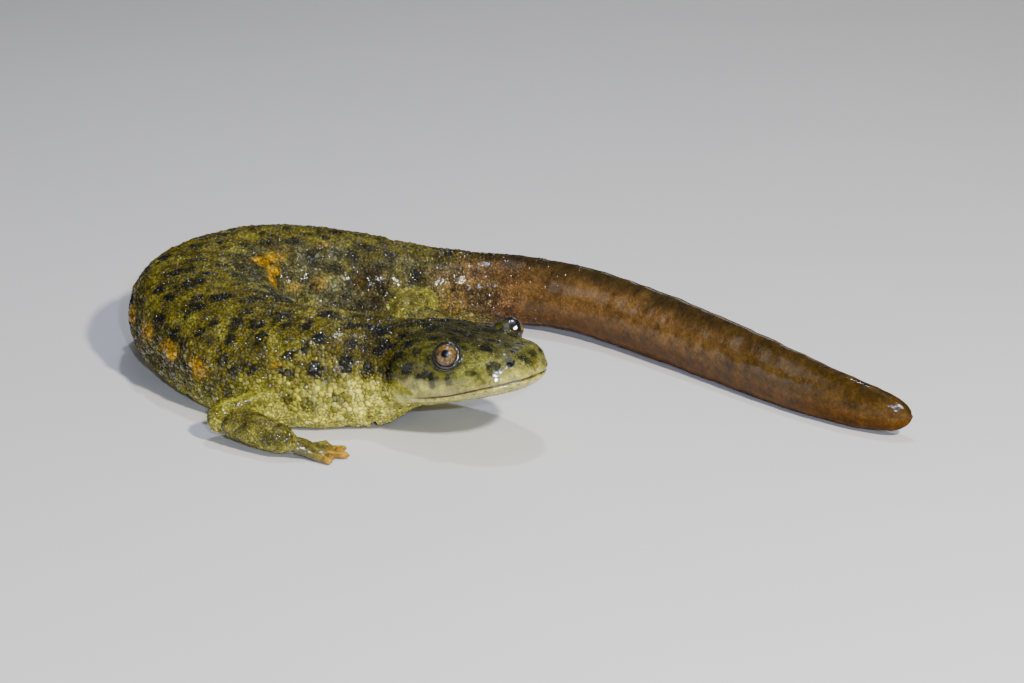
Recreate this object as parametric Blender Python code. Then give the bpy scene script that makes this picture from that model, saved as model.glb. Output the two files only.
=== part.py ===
"""A sharp-ribbed newt at rest, life size, as solids: head, jaw, eyes, neck, trunk, tail, legs and feet.

Sizes are in millimetres until a mesh is written. A station is a distance back from the snout tip along the
spine. A heading is in degrees in plan, from +X towards +Y, and points from head to tail. The animal lies on
the floor, z = 0, on small flats, and every solid keeps GAP to its neighbours.
"""

import math

import bmesh
import bpy
import numpy as np
from mathutils import Vector

MM = 0.001
GAP = 0.3

# ---- the trunk line, from the snout tip to the tail tip -----------------------------------------------
LENGTH = 242.5
SNOUT_ROUND, TAIL_ROUND = 7.0, 5.0  # how long the rounding of each end is
JAW_CORNER = 19.5
SHOULDER, HIP = 46.0, 134.0
# Where the flesh is divided, each length with its name.
LENGTHS = (
    ("head", 0, 28), ("neck", 28, 38), ("trunk_front", 38, 70), ("trunk_middle", 70, 98),
    ("trunk_rear", 98, 127), ("pelvis", 127, 142), ("tail_base", 142, 174),
    ("tail_middle", 174, 208), ("tail_tip", 208, 242.5),
)
HEADINGS = (
    (0, 140), (22, 142), (29, 160), (36, 174), (44, 167), (54, 138), (66, 123), (76, 110), (86, 85),
    (95, 53), (104, 24), (114, 2), (130, 1), (144, -5), (156, -25), (168, -41), (184, -49), (206, -51),
    (222, -46), (242.5, -22),
)
HEIGHTS = (
    (0, 14.6), (10, 12.2), (20, 9.8), (30, 8.6), (46, 8.2), (70, 8.6), (100, 9.2), (115, 8.9),
    (128, 7.9), (134, 7.5), (147, 7.1), (160, 7.2), (174, 6.8), (208, 5.8), (230, 4.8), (242.5, 4.0),
)
HALF_WIDTHS = (
    (0, 6.0), (4, 8.0), (10, 9.9), (16, 11.2), (21, 11.7), (28, 10.8), (34, 10.6), (42, 12.2), (50, 12.8),
    (66, 13.6), (84, 14.1), (100, 14.0), (114, 12.8), (126, 10.2), (138, 7.6), (150, 6.0), (170, 4.6),
    (205, 3.5), (230, 2.8), (242.5, 2.2),
)
TOPS = (
    (0, 3.4), (4, 4.6), (10, 6.4), (16, 7.9), (22, 8.6), (28, 8.5), (34, 9.1), (42, 10.2), (54, 9.9),
    (70, 10.0), (100, 10.3), (115, 9.4), (128, 8.1), (134, 7.4), (147, 6.8), (160, 6.4), (174, 6.5),
    (208, 6.1), (230, 4.6), (242.5, 3.0),
)
BOTTOMS = (
    (0, 2.6), (4, 3.0), (10, 3.8), (16, 4.2), (22, 4.7), (26, 6.0), (32, 8.8), (40, 9.4), (70, 9.6),
    (100, 10.0), (115, 9.2), (128, 8.3), (134, 7.8), (147, 6.9), (160, 6.5), (174, 6.7), (208, 6.0),
    (230, 4.6), (242.5, 3.2),
)
# How square a section is, over and under its middle: 2 is an ellipse. The belly spreads where it lies on the
# floor, and the tail has an upper and a lower edge.
SQUARENESS = ((0, 2.3), (24, 2.4), (44, 2.2), (80, 2.3), (120, 2.1), (146, 1.9), (242.5, 1.8))
UNDERSIDE = (
    (0, 2.3), (24, 2.4), (34, 3.2), (56, 3.3), (72, 2.5), (110, 2.4), (146, 2.0), (242.5, 1.8),
)
MOUTH = ((-4, -0.4), (6, -0.7), (14, -1.4), (19.5, -1.2))  # height of the mouth line over the spine
# Behind the corner of the mouth the cut turns down, so that the jaw is parted from the throat.
JAW_END = ((20.5, -1.2), (21.0, -2.6), (21.1, -5.0), (21.1, -14.0))
CUT_REACH = 20.0  # how far the cut runs to each side of the head's middle

# ---- eyes: back from the snout, out from the middle and up from the spine -------------------------------
EYE = (11.4, 8.35, 5.05)
EYE_RADIUS = 2.3
EYE_LOOK = (0.5, 0.81, 0.3)  # the way it looks: forward, out and up
LID_RADIUS, LID_INSET = 2.85, 0.8


def curve(knots, at):
    """A smooth line through the knots, (place, value) each, that doesn't swing past them."""
    x, y = np.array(knots, float).T
    slope = np.diff(y) / np.diff(x)
    lean = np.zeros(len(x))
    same = slope[:-1] * slope[1:] > 0
    lean[1:-1][same] = 2 / (1 / slope[:-1][same] + 1 / slope[1:][same])
    lean[0], lean[-1] = slope[0], slope[-1]
    at = np.clip(np.asarray(at, float), x[0], x[-1])
    i = np.clip(np.searchsorted(x, at, side="right") - 1, 0, len(x) - 2)
    step = x[i + 1] - x[i]
    t = (at - x[i]) / step
    return (
        y[i] * (1 + 2 * t) * (1 - t) ** 2
        + y[i + 1] * t * t * (3 - 2 * t)
        + step * lean[i] * t * (1 - t) ** 2
        + step * lean[i + 1] * t * t * (t - 1)
    )


# The spine is summed from its headings once, in steps short enough to be smooth.
STEP = 0.25
STATIONS = np.arange(0, LENGTH + STEP, STEP)
TURNED = np.radians(curve(HEADINGS, STATIONS))
SPINE_X = np.concatenate([[0], np.cumsum(np.cos(TURNED[1:]) * STEP)])
SPINE_Y = np.concatenate([[0], np.cumsum(np.sin(TURNED[1:]) * STEP)])


def spine(station):
    """The spine's point at a station, which may lie a little past either end."""
    at = min(max(station, 0), LENGTH)
    heading = math.radians(float(curve(HEADINGS, at)))
    past = station - at
    return Vector((
        np.interp(at, STATIONS, SPINE_X) + past * math.cos(heading),
        np.interp(at, STATIONS, SPINE_Y) + past * math.sin(heading),
        float(curve(HEIGHTS, at)),
    ))


def axes(station):
    """(forward, left, up) unit vectors at a station. Left is level, and up leans with the spine."""
    forward = (spine(station - 0.5) - spine(station + 0.5)).normalized()
    left = Vector((0, 0, 1)).cross(forward).normalized()
    return forward, left, forward.cross(left)


def place(station, out, up):
    """A point beside the spine: out to the left, or to the right if negative, and up."""
    _, left, upward = axes(station)
    return spine(station) + left * out + upward * up


def level_place(station, side, forward, out, height):
    """A point by the animal, in plan from a station: forward, and out to side 1 (left) or -1, at a height."""
    heading = math.radians(float(curve(HEADINGS, station)))
    ahead = Vector((-math.cos(heading), -math.sin(heading), 0))
    left = Vector((0, 0, 1)).cross(ahead)
    point = spine(station) + ahead * forward + left * (side * out)
    point.z = height
    return point


def rounding(distance, length):
    """1 away from an end, and falling to 0 at it in a quarter circle."""
    return math.sqrt(max(0.0, 1 - (1 - min(distance / length, 1)) ** 2))


def section(station, count, grown=0.0):
    """The ring of points round the flesh at a station."""
    ends = rounding(station, SNOUT_ROUND) * rounding(LENGTH - station, TAIL_ROUND)
    flat_ends = rounding(station, SNOUT_ROUND * 0.55) * rounding(LENGTH - station, TAIL_ROUND)
    wide = float(curve(HALF_WIDTHS, station)) * ends + grown
    above = float(curve(TOPS, station)) * flat_ends + grown
    below = float(curve(BOTTOMS, station)) * flat_ends + grown
    over, under = (2 / float(curve(table, station)) for table in (SQUARENESS, UNDERSIDE))
    ring = []
    for k in range(count):
        turn = 2 * math.pi * k / count
        out, up = math.cos(turn), math.sin(turn)
        power = over if up > 0 else under
        out = math.copysign(abs(out) ** power, out) * wide
        up = math.copysign(abs(up) ** power, up) * (above if up > 0 else below)
        ring.append(place(station, out, up))
    return ring


def skin_rings(mesh, rings, first=None, last=None):
    """Faces between the rings, and each end closed by a fan to a tip point, or flat."""
    made = [[mesh.verts.new(p) for p in ring] for ring in rings]
    for ring, after in zip(made, made[1:]):
        for k in range(len(ring)):
            n = (k + 1) % len(ring)
            mesh.faces.new((ring[k], ring[n], after[n], after[k]))
    for ring, tip, facing in ((made[0], first, -1), (made[-1], last, 1)):
        ring = ring[::-1] if facing < 0 else ring
        if tip is None:
            mesh.faces.new(ring)
            continue
        point = mesh.verts.new(tip)
        for k in range(len(ring)):
            mesh.faces.new((ring[k], ring[(k + 1) % len(ring)], point))


def on_floor(mesh):
    """Whatever would be under the floor becomes a flat on it."""
    for vert in mesh.verts:
        vert.co.z = max(vert.co.z, 0)


# ---- solids -------------------------------------------------------------------------------------------
def solid(name, mesh):
    """An object in metres from a mesh in millimetres, its faces pointing out."""
    bmesh.ops.recalc_face_normals(mesh, faces=mesh.faces)
    for vert in mesh.verts:
        vert.co *= MM
    data = bpy.data.meshes.new(name)
    mesh.to_mesh(data)
    mesh.free()
    obj = bpy.data.objects.new(name, data)
    bpy.context.scene.collection.objects.link(obj)
    return obj


def carve(obj, tool, operation="DIFFERENCE"):
    """Cuts the tool out of the object, or joins it on, and removes the tool."""
    boolean = obj.modifiers.new("carve", "BOOLEAN")
    boolean.operation = operation
    boolean.solver = "EXACT"
    boolean.object = tool
    bpy.context.view_layer.update()
    evaluated = obj.evaluated_get(bpy.context.evaluated_depsgraph_get())
    made = bpy.data.meshes.new_from_object(evaluated)
    obj.modifiers.clear()
    obj.data = made
    bpy.data.objects.remove(tool)
    return obj


def parts_of(obj):
    """The separate bodies in an object, as meshes in millimetres, the largest first."""
    whole = bmesh.new()
    whole.from_mesh(obj.data)
    bpy.data.objects.remove(obj)
    todo, found = set(whole.verts), []
    while todo:
        near = [todo.pop()]
        island = set(near)
        while near:
            for edge in near.pop().link_edges:
                for vert in edge.verts:
                    if vert not in island:
                        island.add(vert)
                        near.append(vert)
        todo -= island
        body = bmesh.new()
        copies = {vert: body.verts.new(vert.co / MM) for vert in island}
        for face in whole.faces:
            if face.verts[0] in island:
                body.faces.new([copies[vert] for vert in face.verts])
        found.append(body)
    whole.free()
    return sorted(found, key=lambda body: -body.calc_volume(signed=False))


def main_body(obj):
    """The object without the slivers that a cut can leave beside it."""
    name = obj.name
    return solid(name, parts_of(obj)[0])


def ball(name, centre, radius, around=16, rows=10):
    mesh = bmesh.new()
    bmesh.ops.create_uvsphere(mesh, u_segments=around, v_segments=rows, radius=radius)
    bmesh.ops.translate(mesh, verts=mesh.verts, vec=centre)
    return solid(name, mesh)


# ---- head, jaw and eyes ---------------------------------------------------------------------------------
HEAD_POINTS = 36
HEAD_STATIONS = (
    0.15, 0.6, 1.3, 2.3, 3.5, 4.8, 6.2, 7.6, 8.8, 10, 11.2, 12.4, 13.6, 14.8, 16.2, 18, 20, 22, 24, 26,
)


def eye_places(side):
    """The centre of an eye, and of the round of flesh that holds it."""
    station, out, up = EYE
    forward, left, upward = axes(station)
    centre = place(station, side * out, up)
    look = forward * EYE_LOOK[0] + left * (side * EYE_LOOK[1]) + upward * EYE_LOOK[2]
    return centre, centre - look * LID_INSET


def mouth_cutter():
    """A thin sheet along the mouth line, turned down behind the corner of the jaw."""
    line = [(at, float(curve(MOUTH, at))) for at in np.linspace(MOUTH[0][0], JAW_CORNER, 14)]
    line += JAW_END
    rings = []
    for i, (at, up) in enumerate(line):
        before, after = line[max(i - 1, 0)], line[min(i + 1, len(line) - 1)]
        along = Vector((after[0] - before[0], after[1] - before[1])).normalized()
        across = Vector((-along.y, along.x)) * (GAP / 2)
        upper, lower = (at + across.x, up + across.y), (at - across.x, up - across.y)
        rings.append([place(upper[0], -CUT_REACH, upper[1]), place(upper[0], CUT_REACH, upper[1]),
                      place(lower[0], CUT_REACH, lower[1]), place(lower[0], -CUT_REACH, lower[1])])
    mesh = bmesh.new()
    skin_rings(mesh, rings)
    return solid("mouth_cutter", mesh)


def make_head():
    mesh = bmesh.new()
    end = LENGTHS[0][2] - GAP / 2
    rings = [section(at, HEAD_POINTS) for at in (*HEAD_STATIONS, end)]
    skin_rings(mesh, rings, first=spine(0))
    head = solid("whole_head", mesh)
    eyes = []
    for side, word in ((1, "left"), (-1, "right")):
        centre, lids = eye_places(side)
        carve(head, ball("lids", lids, LID_RADIUS), "UNION")
        carve(head, ball("socket", centre, EYE_RADIUS + GAP))
        eyes.append(ball("eye_" + word, centre, EYE_RADIUS))
    carve(head, mouth_cutter())
    upper, lower = parts_of(head)[:2]
    return [solid("head", upper), solid("lower_jaw", lower), *eyes]


# ---- neck, trunk and tail -------------------------------------------------------------------------------
TRUNK_RINGS, TAIL_RINGS = (3.5, 28), (4.4, 20)  # how far apart the rings are, and how many points each has
TIP_TURNS = (0.4, 0.8, 1.15, 1.4)  # how far round the tail tip's rounding its rings lie, in radians


def rings_between(start, end, spacing, count, grown=0.0):
    steps = max(2, round((end - start) / spacing))
    return [section(start + (end - start) * i / steps, count, grown) for i in range(steps + 1)]


def make_length(name, start, end):
    """One length of the body, cut square to the spine at both ends."""
    spacing, count = TAIL_RINGS if name.startswith("tail") else TRUNK_RINGS
    tip = end == LENGTH
    mesh = bmesh.new()
    stop = end - (TAIL_ROUND if tip else GAP / 2)
    rings = rings_between(start + GAP / 2, stop, spacing, count)
    if tip:
        rings += [section(LENGTH - TAIL_ROUND * (1 - math.sin(turn)), count) for turn in TIP_TURNS]
    skin_rings(mesh, rings, last=spine(LENGTH) if tip else None)
    on_floor(mesh)
    return solid(name, mesh)


def body_tool():
    """The neck to the tail base, grown by the gap, to cut the legs' roots with."""
    mesh = bmesh.new()
    ends = [at for name, start, end in LENGTHS for at in (start, end) if name in ("neck", "tail_base")]
    skin_rings(mesh, rings_between(ends[0], ends[-1], *TRUNK_RINGS, GAP))
    return solid("body_tool", mesh)


# ---- legs -----------------------------------------------------------------------------------------------
# A leg's points are its root, elbow or knee, wrist or ankle, and knuckles: forward of its station, out from
# the spine, and height over the floor. Its upper and lower lengths have half widths at start, middle and end.
# The toes run from the inner side out: degrees from straight ahead, and lengths.
FORELEG = dict(
    station=SHOULDER, upper=(3.5, 3.4, 3.3), lower=(3.1, 3.2, 2.4), palm=(2.2, 2.7),
    toes=(-38, -8, 14, 42), lengths=(4.2, 6.0, 6.4, 4.4))
HINDLEG = dict(
    station=HIP, upper=(4.0, 4.0, 3.5), lower=(3.2, 3.1, 2.3), palm=(2.3, 3.2),
    toes=(-52, -24, 0, 24, 50), lengths=(3.6, 5.6, 6.8, 6.4, 4.2))
LEFT, RIGHT = 1, -1
LEGS = (
    ("foreleg_right", FORELEG, RIGHT, ((1, 8, 5.4), (-8, 17.8, 4.2), (4.4, 22, 3.0), (7.4, 20.6, 1.6))),
    ("foreleg_left", FORELEG, LEFT, ((1, 8, 6.6), (-1.5, 20, 5.4), (9, 20.5, 3.0), (12.8, 19.5, 1.6))),
    ("hindleg_left", HINDLEG, LEFT, ((0, 3, 7.4), (3.5, 12.5, 5.8), (-7, 18, 3.2), (-5.5, 21.8, 1.6))),
    ("hindleg_right", HINDLEG, RIGHT, ((0, 3, 7.0), (5, 13, 6.0), (-4, 19.5, 3.2), (0, 22.5, 1.6))),
)
UPPER_FLAT, LOWER_FLAT, PALM_FLAT, TOE_FLAT = 0.95, 0.92, 0.55, 0.85  # height of a length against its width
LEG_SHAPE, PALM_SHAPE, TOE_SHAPE = (12, 8), (11, 8), (7, 5)  # points round a length, and rows along it
TOE_RADII = (0.95, 0.88, 0.76)
TOE_HEIGHT, TOE_DROP = 1.0, 0.35  # of a toe's root over the floor, and from there to its tip


def length_of_leg(name, path, radii, flat, shape, grown=0.0):
    """A round-ended loft from one point to the next, with its half widths at start, middle and end."""
    start, end = path
    count, rows = shape
    along = (end - start).normalized()
    across = along.cross(Vector((0, 0, 1))).normalized()
    upward = across.cross(along)
    first, last = start - along * radii[0], end + along * radii[-1]
    whole = (last - first).length
    knots = ((0, radii[0]), (0.5, radii[1]), (1, radii[2]))
    rings = []
    for row in range(1, rows):
        share = (1 - math.cos(math.pi * row / rows)) / 2
        ends = rounding(share * whole, radii[0]) * rounding((1 - share) * whole, radii[-1])
        wide = float(curve(knots, share)) * ends + grown
        centre = first.lerp(last, share)
        turns = [2 * math.pi * k / count for k in range(count)]
        over, high = across * wide, upward * (wide * flat)
        rings.append([centre + over * math.cos(turn) + high * math.sin(turn) for turn in turns])
    mesh = bmesh.new()
    skin_rings(mesh, rings, first - along * grown, last + along * grown)
    if not grown:
        on_floor(mesh)
    return solid(name, mesh)


def make_foot(name, form, side, wrist, knuckles):
    """The palm with its toes spread on the floor."""
    ahead = knuckles - wrist
    ahead.z = 0
    ahead.normalize()
    outward = Vector((0, 0, 1)).cross(ahead) * side
    narrow, broad = form["palm"]
    foot = length_of_leg(
        name, (wrist, knuckles), (narrow, (narrow + broad) / 2, broad), PALM_FLAT, PALM_SHAPE)
    for angle, length in zip(form["toes"], form["lengths"]):
        turn = math.radians(angle)
        way = ahead * math.cos(turn) + outward * math.sin(turn)
        root = knuckles + outward * (math.sin(turn) * broad * 0.55) + way * (broad * 0.25)
        root.z = TOE_HEIGHT
        tip = root + way * length - Vector((0, 0, TOE_DROP))
        carve(foot, length_of_leg("toe", (root, tip), TOE_RADII, TOE_FLAT, TOE_SHAPE), "UNION")
    return foot


def make_leg(name, form, side, points):
    """A leg's three solids, each cut clear of the one before it and of the body."""
    root, bend, wrist, knuckles = (level_place(form["station"], side, *point) for point in points)
    upper_form = ((root, bend), form["upper"], UPPER_FLAT, LEG_SHAPE)
    lower_form = ((bend, wrist), form["lower"], LOWER_FLAT, LEG_SHAPE)
    upper = length_of_leg(name + "_upper", *upper_form)
    lower = carve(length_of_leg(name + "_lower", *lower_form), length_of_leg("tool", *upper_form, GAP))
    foot = make_foot(name + "_foot", form, side, wrist, knuckles)
    carve(foot, length_of_leg("tool", *lower_form, GAP))
    return [main_body(carve(piece, body_tool())) for piece in (upper, lower, foot)]


# ---- finish ---------------------------------------------------------------------------------------------
# Colour and roughness by the start of a node's name.
FINISHES = {
    "eye": ((0.06, 0.035, 0.01), 0.08),
    "lower_jaw": ((0.30, 0.27, 0.11), 0.4),
    "tail": ((0.17, 0.085, 0.025), 0.38),
    "foreleg": ((0.13, 0.11, 0.035), 0.42),
    "hindleg": ((0.12, 0.10, 0.035), 0.42),
    "": ((0.10, 0.095, 0.025), 0.42),
}
SMOOTH_UNDER = math.radians(50)  # faces that meet at less than this are shaded as one surface


def give_finish(obj):
    start = next(start for start in FINISHES if obj.name.startswith(start))
    colour, roughness = FINISHES[start]
    material = bpy.data.materials.new(obj.name + "_skin" if start != "eye" else obj.name)
    material.use_nodes = True
    shader = material.node_tree.nodes["Principled BSDF"]
    shader.inputs["Base Color"].default_value = (*colour, 1)
    shader.inputs["Roughness"].default_value = roughness
    shader.inputs["Metallic"].default_value = 0
    obj.data.materials.clear()
    obj.data.materials.append(material)
    obj.data.shade_smooth()
    obj.data.set_sharp_from_angle(angle=SMOOTH_UNDER)


def centre_on_floor(solids):
    """Hangs the solids on an empty that brings the middle of their plan to the origin."""
    points = np.concatenate([[vert.co[:2] for vert in obj.data.vertices] for obj in solids])
    middle = (points.min(axis=0) + points.max(axis=0)) / 2
    newt = bpy.data.objects.new("newt", None)
    newt.location = (-middle[0], -middle[1], 0)
    bpy.context.scene.collection.objects.link(newt)
    for obj in solids:
        obj.parent = newt


def main():
    for obj in list(bpy.data.objects):
        bpy.data.objects.remove(obj)
    solids = make_head()
    for name, start, end in LENGTHS[1:]:
        solids.append(make_length(name, start, end))
    for leg in LEGS:
        solids += make_leg(*leg)
    for obj in solids:
        give_finish(obj)
    centre_on_floor(solids)


main()
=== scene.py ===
"""The looks of a sharp-ribbed newt at rest: one moist glandular skin, its granules, its eyes, a plain stage.

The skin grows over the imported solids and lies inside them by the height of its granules. Lengths inside the
functions are millimetres, and a mesh is turned to metres when it is written. A station is a distance back
from the snout tip along the spine. A turn is an angle round the spine in degrees: 0 is straight up, 90 is out
to the animal's right, and -90 to its left.
"""

import math
from functools import partial

import bmesh
import bpy
import numpy as np
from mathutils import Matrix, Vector, noise
from mathutils.bvhtree import BVHTree
from mathutils.kdtree import KDTree


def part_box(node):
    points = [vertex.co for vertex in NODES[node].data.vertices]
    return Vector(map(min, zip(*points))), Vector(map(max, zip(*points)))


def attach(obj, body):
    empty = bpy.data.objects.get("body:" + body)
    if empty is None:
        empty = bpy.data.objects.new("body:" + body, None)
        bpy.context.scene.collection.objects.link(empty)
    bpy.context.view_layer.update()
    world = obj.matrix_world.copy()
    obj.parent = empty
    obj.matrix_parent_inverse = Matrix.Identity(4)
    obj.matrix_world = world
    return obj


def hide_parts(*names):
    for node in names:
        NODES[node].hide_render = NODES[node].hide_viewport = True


bl_info = {
    "name": "Sharp-ribbed newt",
    "version": (1, 0, 0),
    "blender": (4, 5, 0),
    "location": "3D View > Sidebar > Newt",
    "description": "Builds the skin, granules and eyes of a resting newt round its packed solids",
    "category": "Object",
}

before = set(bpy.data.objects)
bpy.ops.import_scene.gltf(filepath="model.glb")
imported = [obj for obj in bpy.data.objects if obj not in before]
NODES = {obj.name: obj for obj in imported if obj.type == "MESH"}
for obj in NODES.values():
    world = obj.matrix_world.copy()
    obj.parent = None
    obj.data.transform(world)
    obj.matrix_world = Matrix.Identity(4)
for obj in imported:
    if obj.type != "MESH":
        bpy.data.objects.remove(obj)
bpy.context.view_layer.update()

MM = 0.001
EYES = ("eye_right", "eye_left")
FLESH = tuple(sorted(name for name in NODES if name not in EYES))
LEGS = ("foreleg_right", "foreleg_left", "hindleg_right", "hindleg_left")

# ---- the spine, as the solids were laid out along it ----------------------------------------------------
LENGTH, STEP = 242.5, 0.25
HEADINGS = (
    (0, 140), (22, 142), (29, 160), (36, 174), (44, 167), (54, 138), (66, 123), (76, 110), (86, 85),
    (95, 53), (104, 24), (114, 2), (130, 1), (144, -5), (156, -25), (168, -41), (184, -49), (206, -51),
    (222, -46), (242.5, -22),
)
HEIGHTS = (
    (0, 14.6), (10, 12.2), (20, 9.8), (30, 8.6), (46, 8.2), (70, 8.6), (100, 9.2), (115, 8.9),
    (128, 7.9), (134, 7.5), (147, 7.1), (160, 7.2), (174, 6.8), (208, 5.8), (230, 4.8), (242.5, 4.0),
)
MOUTH = ((-4, -0.4), (6, -0.7), (14, -1.4), (19.5, -1.2))  # height of the mouth line over the spine
JAW_CORNER = 19.5
LENGTHS = (
    "neck", "trunk_front", "trunk_middle", "trunk_rear", "pelvis", "tail_base", "tail_middle", "tail_tip",
)
CUTS_AT = (38, 70, 98, 127, 142, 174, 208)  # the station where each of them meets the next


def curve(knots, at):
    """A smooth line through the knots, (place, value) each, that doesn't swing past them."""
    x, y = np.array(knots, float).T
    slope = np.diff(y) / np.diff(x)
    lean = np.zeros(len(x))
    same = slope[:-1] * slope[1:] > 0
    lean[1:-1][same] = 2 / (1 / slope[:-1][same] + 1 / slope[1:][same])
    lean[0], lean[-1] = slope[0], slope[-1]
    at = np.clip(np.asarray(at, float), x[0], x[-1])
    i = np.clip(np.searchsorted(x, at, side="right") - 1, 0, len(x) - 2)
    step = x[i + 1] - x[i]
    t = (at - x[i]) / step
    return (
        y[i] * (1 + 2 * t) * (1 - t) ** 2
        + y[i + 1] * t * t * (3 - 2 * t)
        + step * lean[i] * t * (1 - t) ** 2
        + step * lean[i + 1] * t * t * (t - 1)
    )


def soft_step(low, high, value):
    """0 below low, 1 above high, and a smooth rise between."""
    t = np.clip((np.asarray(value, float) - low) / (high - low), 0, 1)
    return t * t * (3 - 2 * t)


def bump(middle, reach, value):
    """1 at the middle, falling smoothly to nothing about two reaches away."""
    return np.exp(-(((np.asarray(value, float) - middle) / reach) ** 2))


def corners(node):
    """A node's corner points, in millimetres."""
    flat = np.zeros(len(NODES[node].data.vertices) * 3)
    NODES[node].data.vertices.foreach_get("co", flat)
    return flat.reshape(-1, 3) / MM


def facing_rings(first, second, gap=0.4):
    """The points of two neighbouring lengths that face each other across their thin cut."""
    one, other = corners(first), corners(second)
    found = []
    for points, others in ((one, other), (other, one)):
        tree = KDTree(len(others))
        for i, point in enumerate(others):
            tree.insert(point, i)
        tree.balance()
        found += [point for point in points if tree.find(point)[2] < gap]
    return np.array(found)


def lay_spine():
    """The spine's points at each step, set where the cuts between the solids are."""
    stations = np.arange(0, LENGTH + STEP, STEP)
    turned = np.radians(curve(HEADINGS, stations))
    points = np.zeros((len(stations), 3))
    points[1:, 0] = np.cumsum(np.cos(turned[1:]) * STEP)
    points[1:, 1] = np.cumsum(np.sin(turned[1:]) * STEP)
    points[:, 2] = curve(HEIGHTS, stations)
    shifts = []
    for first, second, station in zip(LENGTHS, LENGTHS[1:], CUTS_AT):
        middle = np.unique(facing_rings(first, second).round(3), axis=0).mean(axis=0)
        shifts.append(middle[:2] - points[round(station / STEP), :2])
    points[:, :2] += np.mean(shifts, axis=0)
    return stations, points


STATIONS, SPINE = lay_spine()
AHEAD = np.radians(curve(HEADINGS, STATIONS))


def spine_at(station):
    """The spine's points at stations, which may lie a little past either end."""
    at = np.clip(station, 0, LENGTH)
    heading = np.interp(at, STATIONS, AHEAD)
    past = station - at
    found = np.stack([np.interp(at, STATIONS, SPINE[:, i]) for i in range(3)], axis=-1)
    found[..., 0] += past * np.cos(heading)
    found[..., 1] += past * np.sin(heading)
    return found


def unit(vectors):
    """The vectors at a length of 1."""
    return vectors / np.maximum(np.linalg.norm(vectors, axis=-1, keepdims=True), 1e-9)


def axes_at(station):
    """Forward, left and up at stations. Left is level, and up leans with the spine."""
    station = np.asarray(station, float)
    forward = unit(spine_at(station - 0.5) - spine_at(station + 0.5))
    left = unit(np.cross([0.0, 0.0, 1.0], forward))
    return forward, left, np.cross(forward, left)


def stations_of(points):
    """The station of each point: where the plane square to the spine passes through it."""
    coarse = SPINE[::4]
    found = np.zeros(len(points))
    for start in range(0, len(points), 20000):
        some = points[start:start + 20000]
        gaps = ((some[:, None, :2] - coarse[None, :, :2]) ** 2).sum(axis=-1)
        found[start:start + 20000] = gaps.argmin(axis=1) * 4 * STEP
    for _ in range(4):
        forward, left, _ = axes_at(found)
        apart = points - spine_at(found)
        bend = np.gradient(AHEAD, STEP)[np.clip(found / STEP, 0, len(AHEAD) - 1).astype(int)]
        stretch = np.clip(1 + bend * (apart * left).sum(axis=1), 0.3, 3)
        found -= (apart * forward).sum(axis=1) / stretch
    return np.clip(found, -6, LENGTH + 6)


def on_nodes(names, start=LEGS, end=""):
    """1 for each point whose node's name starts and ends so, and 0 for the rest."""
    return np.array([float(name.startswith(start) and name.endswith(end)) for name in names])


class Places:
    """Where each of some points is on the body, and the name of its node where that is known."""

    def __init__(self, points, names=()):
        self.points, self.names = points, names
        self.station = stations_of(points)
        _, left, up = axes_at(self.station)
        apart = points - spine_at(self.station)
        self.out = (apart * left).sum(axis=1)
        self.over = (apart * up).sum(axis=1)
        self.turn = np.degrees(np.arctan2(-self.out, self.over))
        self.side = np.abs(self.turn)
        self.gape = self.over - curve(MOUTH, self.station)  # height over the mouth line


# ---- meshes in millimetres ------------------------------------------------------------------------------
def mesh_arrays(mesh):
    """Points, edges and normals of a mesh."""
    points, normals = (np.zeros(len(mesh.vertices) * 3) for _ in range(2))
    mesh.vertices.foreach_get("co", points)
    mesh.vertex_normals.foreach_get("vector", normals)
    edges = np.zeros(len(mesh.edges) * 2, np.int32)
    mesh.edges.foreach_get("vertices", edges)
    return points.reshape(-1, 3), edges.reshape(-1, 2), normals.reshape(-1, 3)


def set_points(mesh, points):
    """Moves a mesh's points."""
    mesh.vertices.foreach_set("co", np.ascontiguousarray(points, np.float32).ravel())
    mesh.update()


def relaxed(points, edges, times, share):
    """The points drawn some share of the way, one for each, to the mean of their neighbours."""
    return points + (spread(points, edges, times) - points) * share[:, None]


def spread(values, edges, times, share=0.5):
    """The values, one or several for each point, averaged with the neighbours' a number of times."""
    count = len(values)
    a, b = edges.T
    near = np.bincount(a, minlength=count) + np.bincount(b, minlength=count)
    near = np.maximum(near, 1)
    values = np.array(values, float)
    columns = values.reshape(count, -1)
    for _ in range(times):
        for i in range(columns.shape[1]):
            column = columns[:, i]
            sums = np.bincount(a, column[b], count) + np.bincount(b, column[a], count)
            columns[:, i] = column + (sums / near - column) * share
    return columns.reshape(values.shape)


def cloud(points, size, seed):
    """Smooth noise from about -1 to 1 at the points, with lumps of the size."""
    start = Vector((seed * 17.3, seed * 5.1, seed * 9.7))
    return np.array([noise.noise(Vector(p) + start) for p in (points / size).tolist()]) * 1.6


# ---- the flesh under the skin ---------------------------------------------------------------------------
class Flesh:
    """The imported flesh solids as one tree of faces, each with its node's name."""

    def __init__(self):
        points, faces, self.names = [], [], []
        for name in FLESH:
            mesh = NODES[name].data
            mesh.calc_loop_triangles()
            start = len(points)
            points += corners(name).tolist()
            faces += [[start + i for i in face.vertices] for face in mesh.loop_triangles]
            self.names += [name] * len(mesh.loop_triangles)
        self.tree = BVHTree.FromPolygons(points, faces)

    def below(self, points):
        """How far each point is over the solids' surface, or under it if negative, and its node's name."""
        heights, names = np.zeros(len(points)), []
        for i, point in enumerate(points.tolist()):
            place, normal, face, distance = self.tree.find_nearest(point)
            heights[i] = distance if (Vector(point) - place).dot(normal) > 0 else -distance
            names.append(self.names[face])
        return heights, np.array(names)


EYE_LOOK = (0.56, 0.77, 0.32)  # forward, out and up
LEFT_LID_HANG = 22.0  # how many degrees lower the left eye's upper lid hangs at its front


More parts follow.
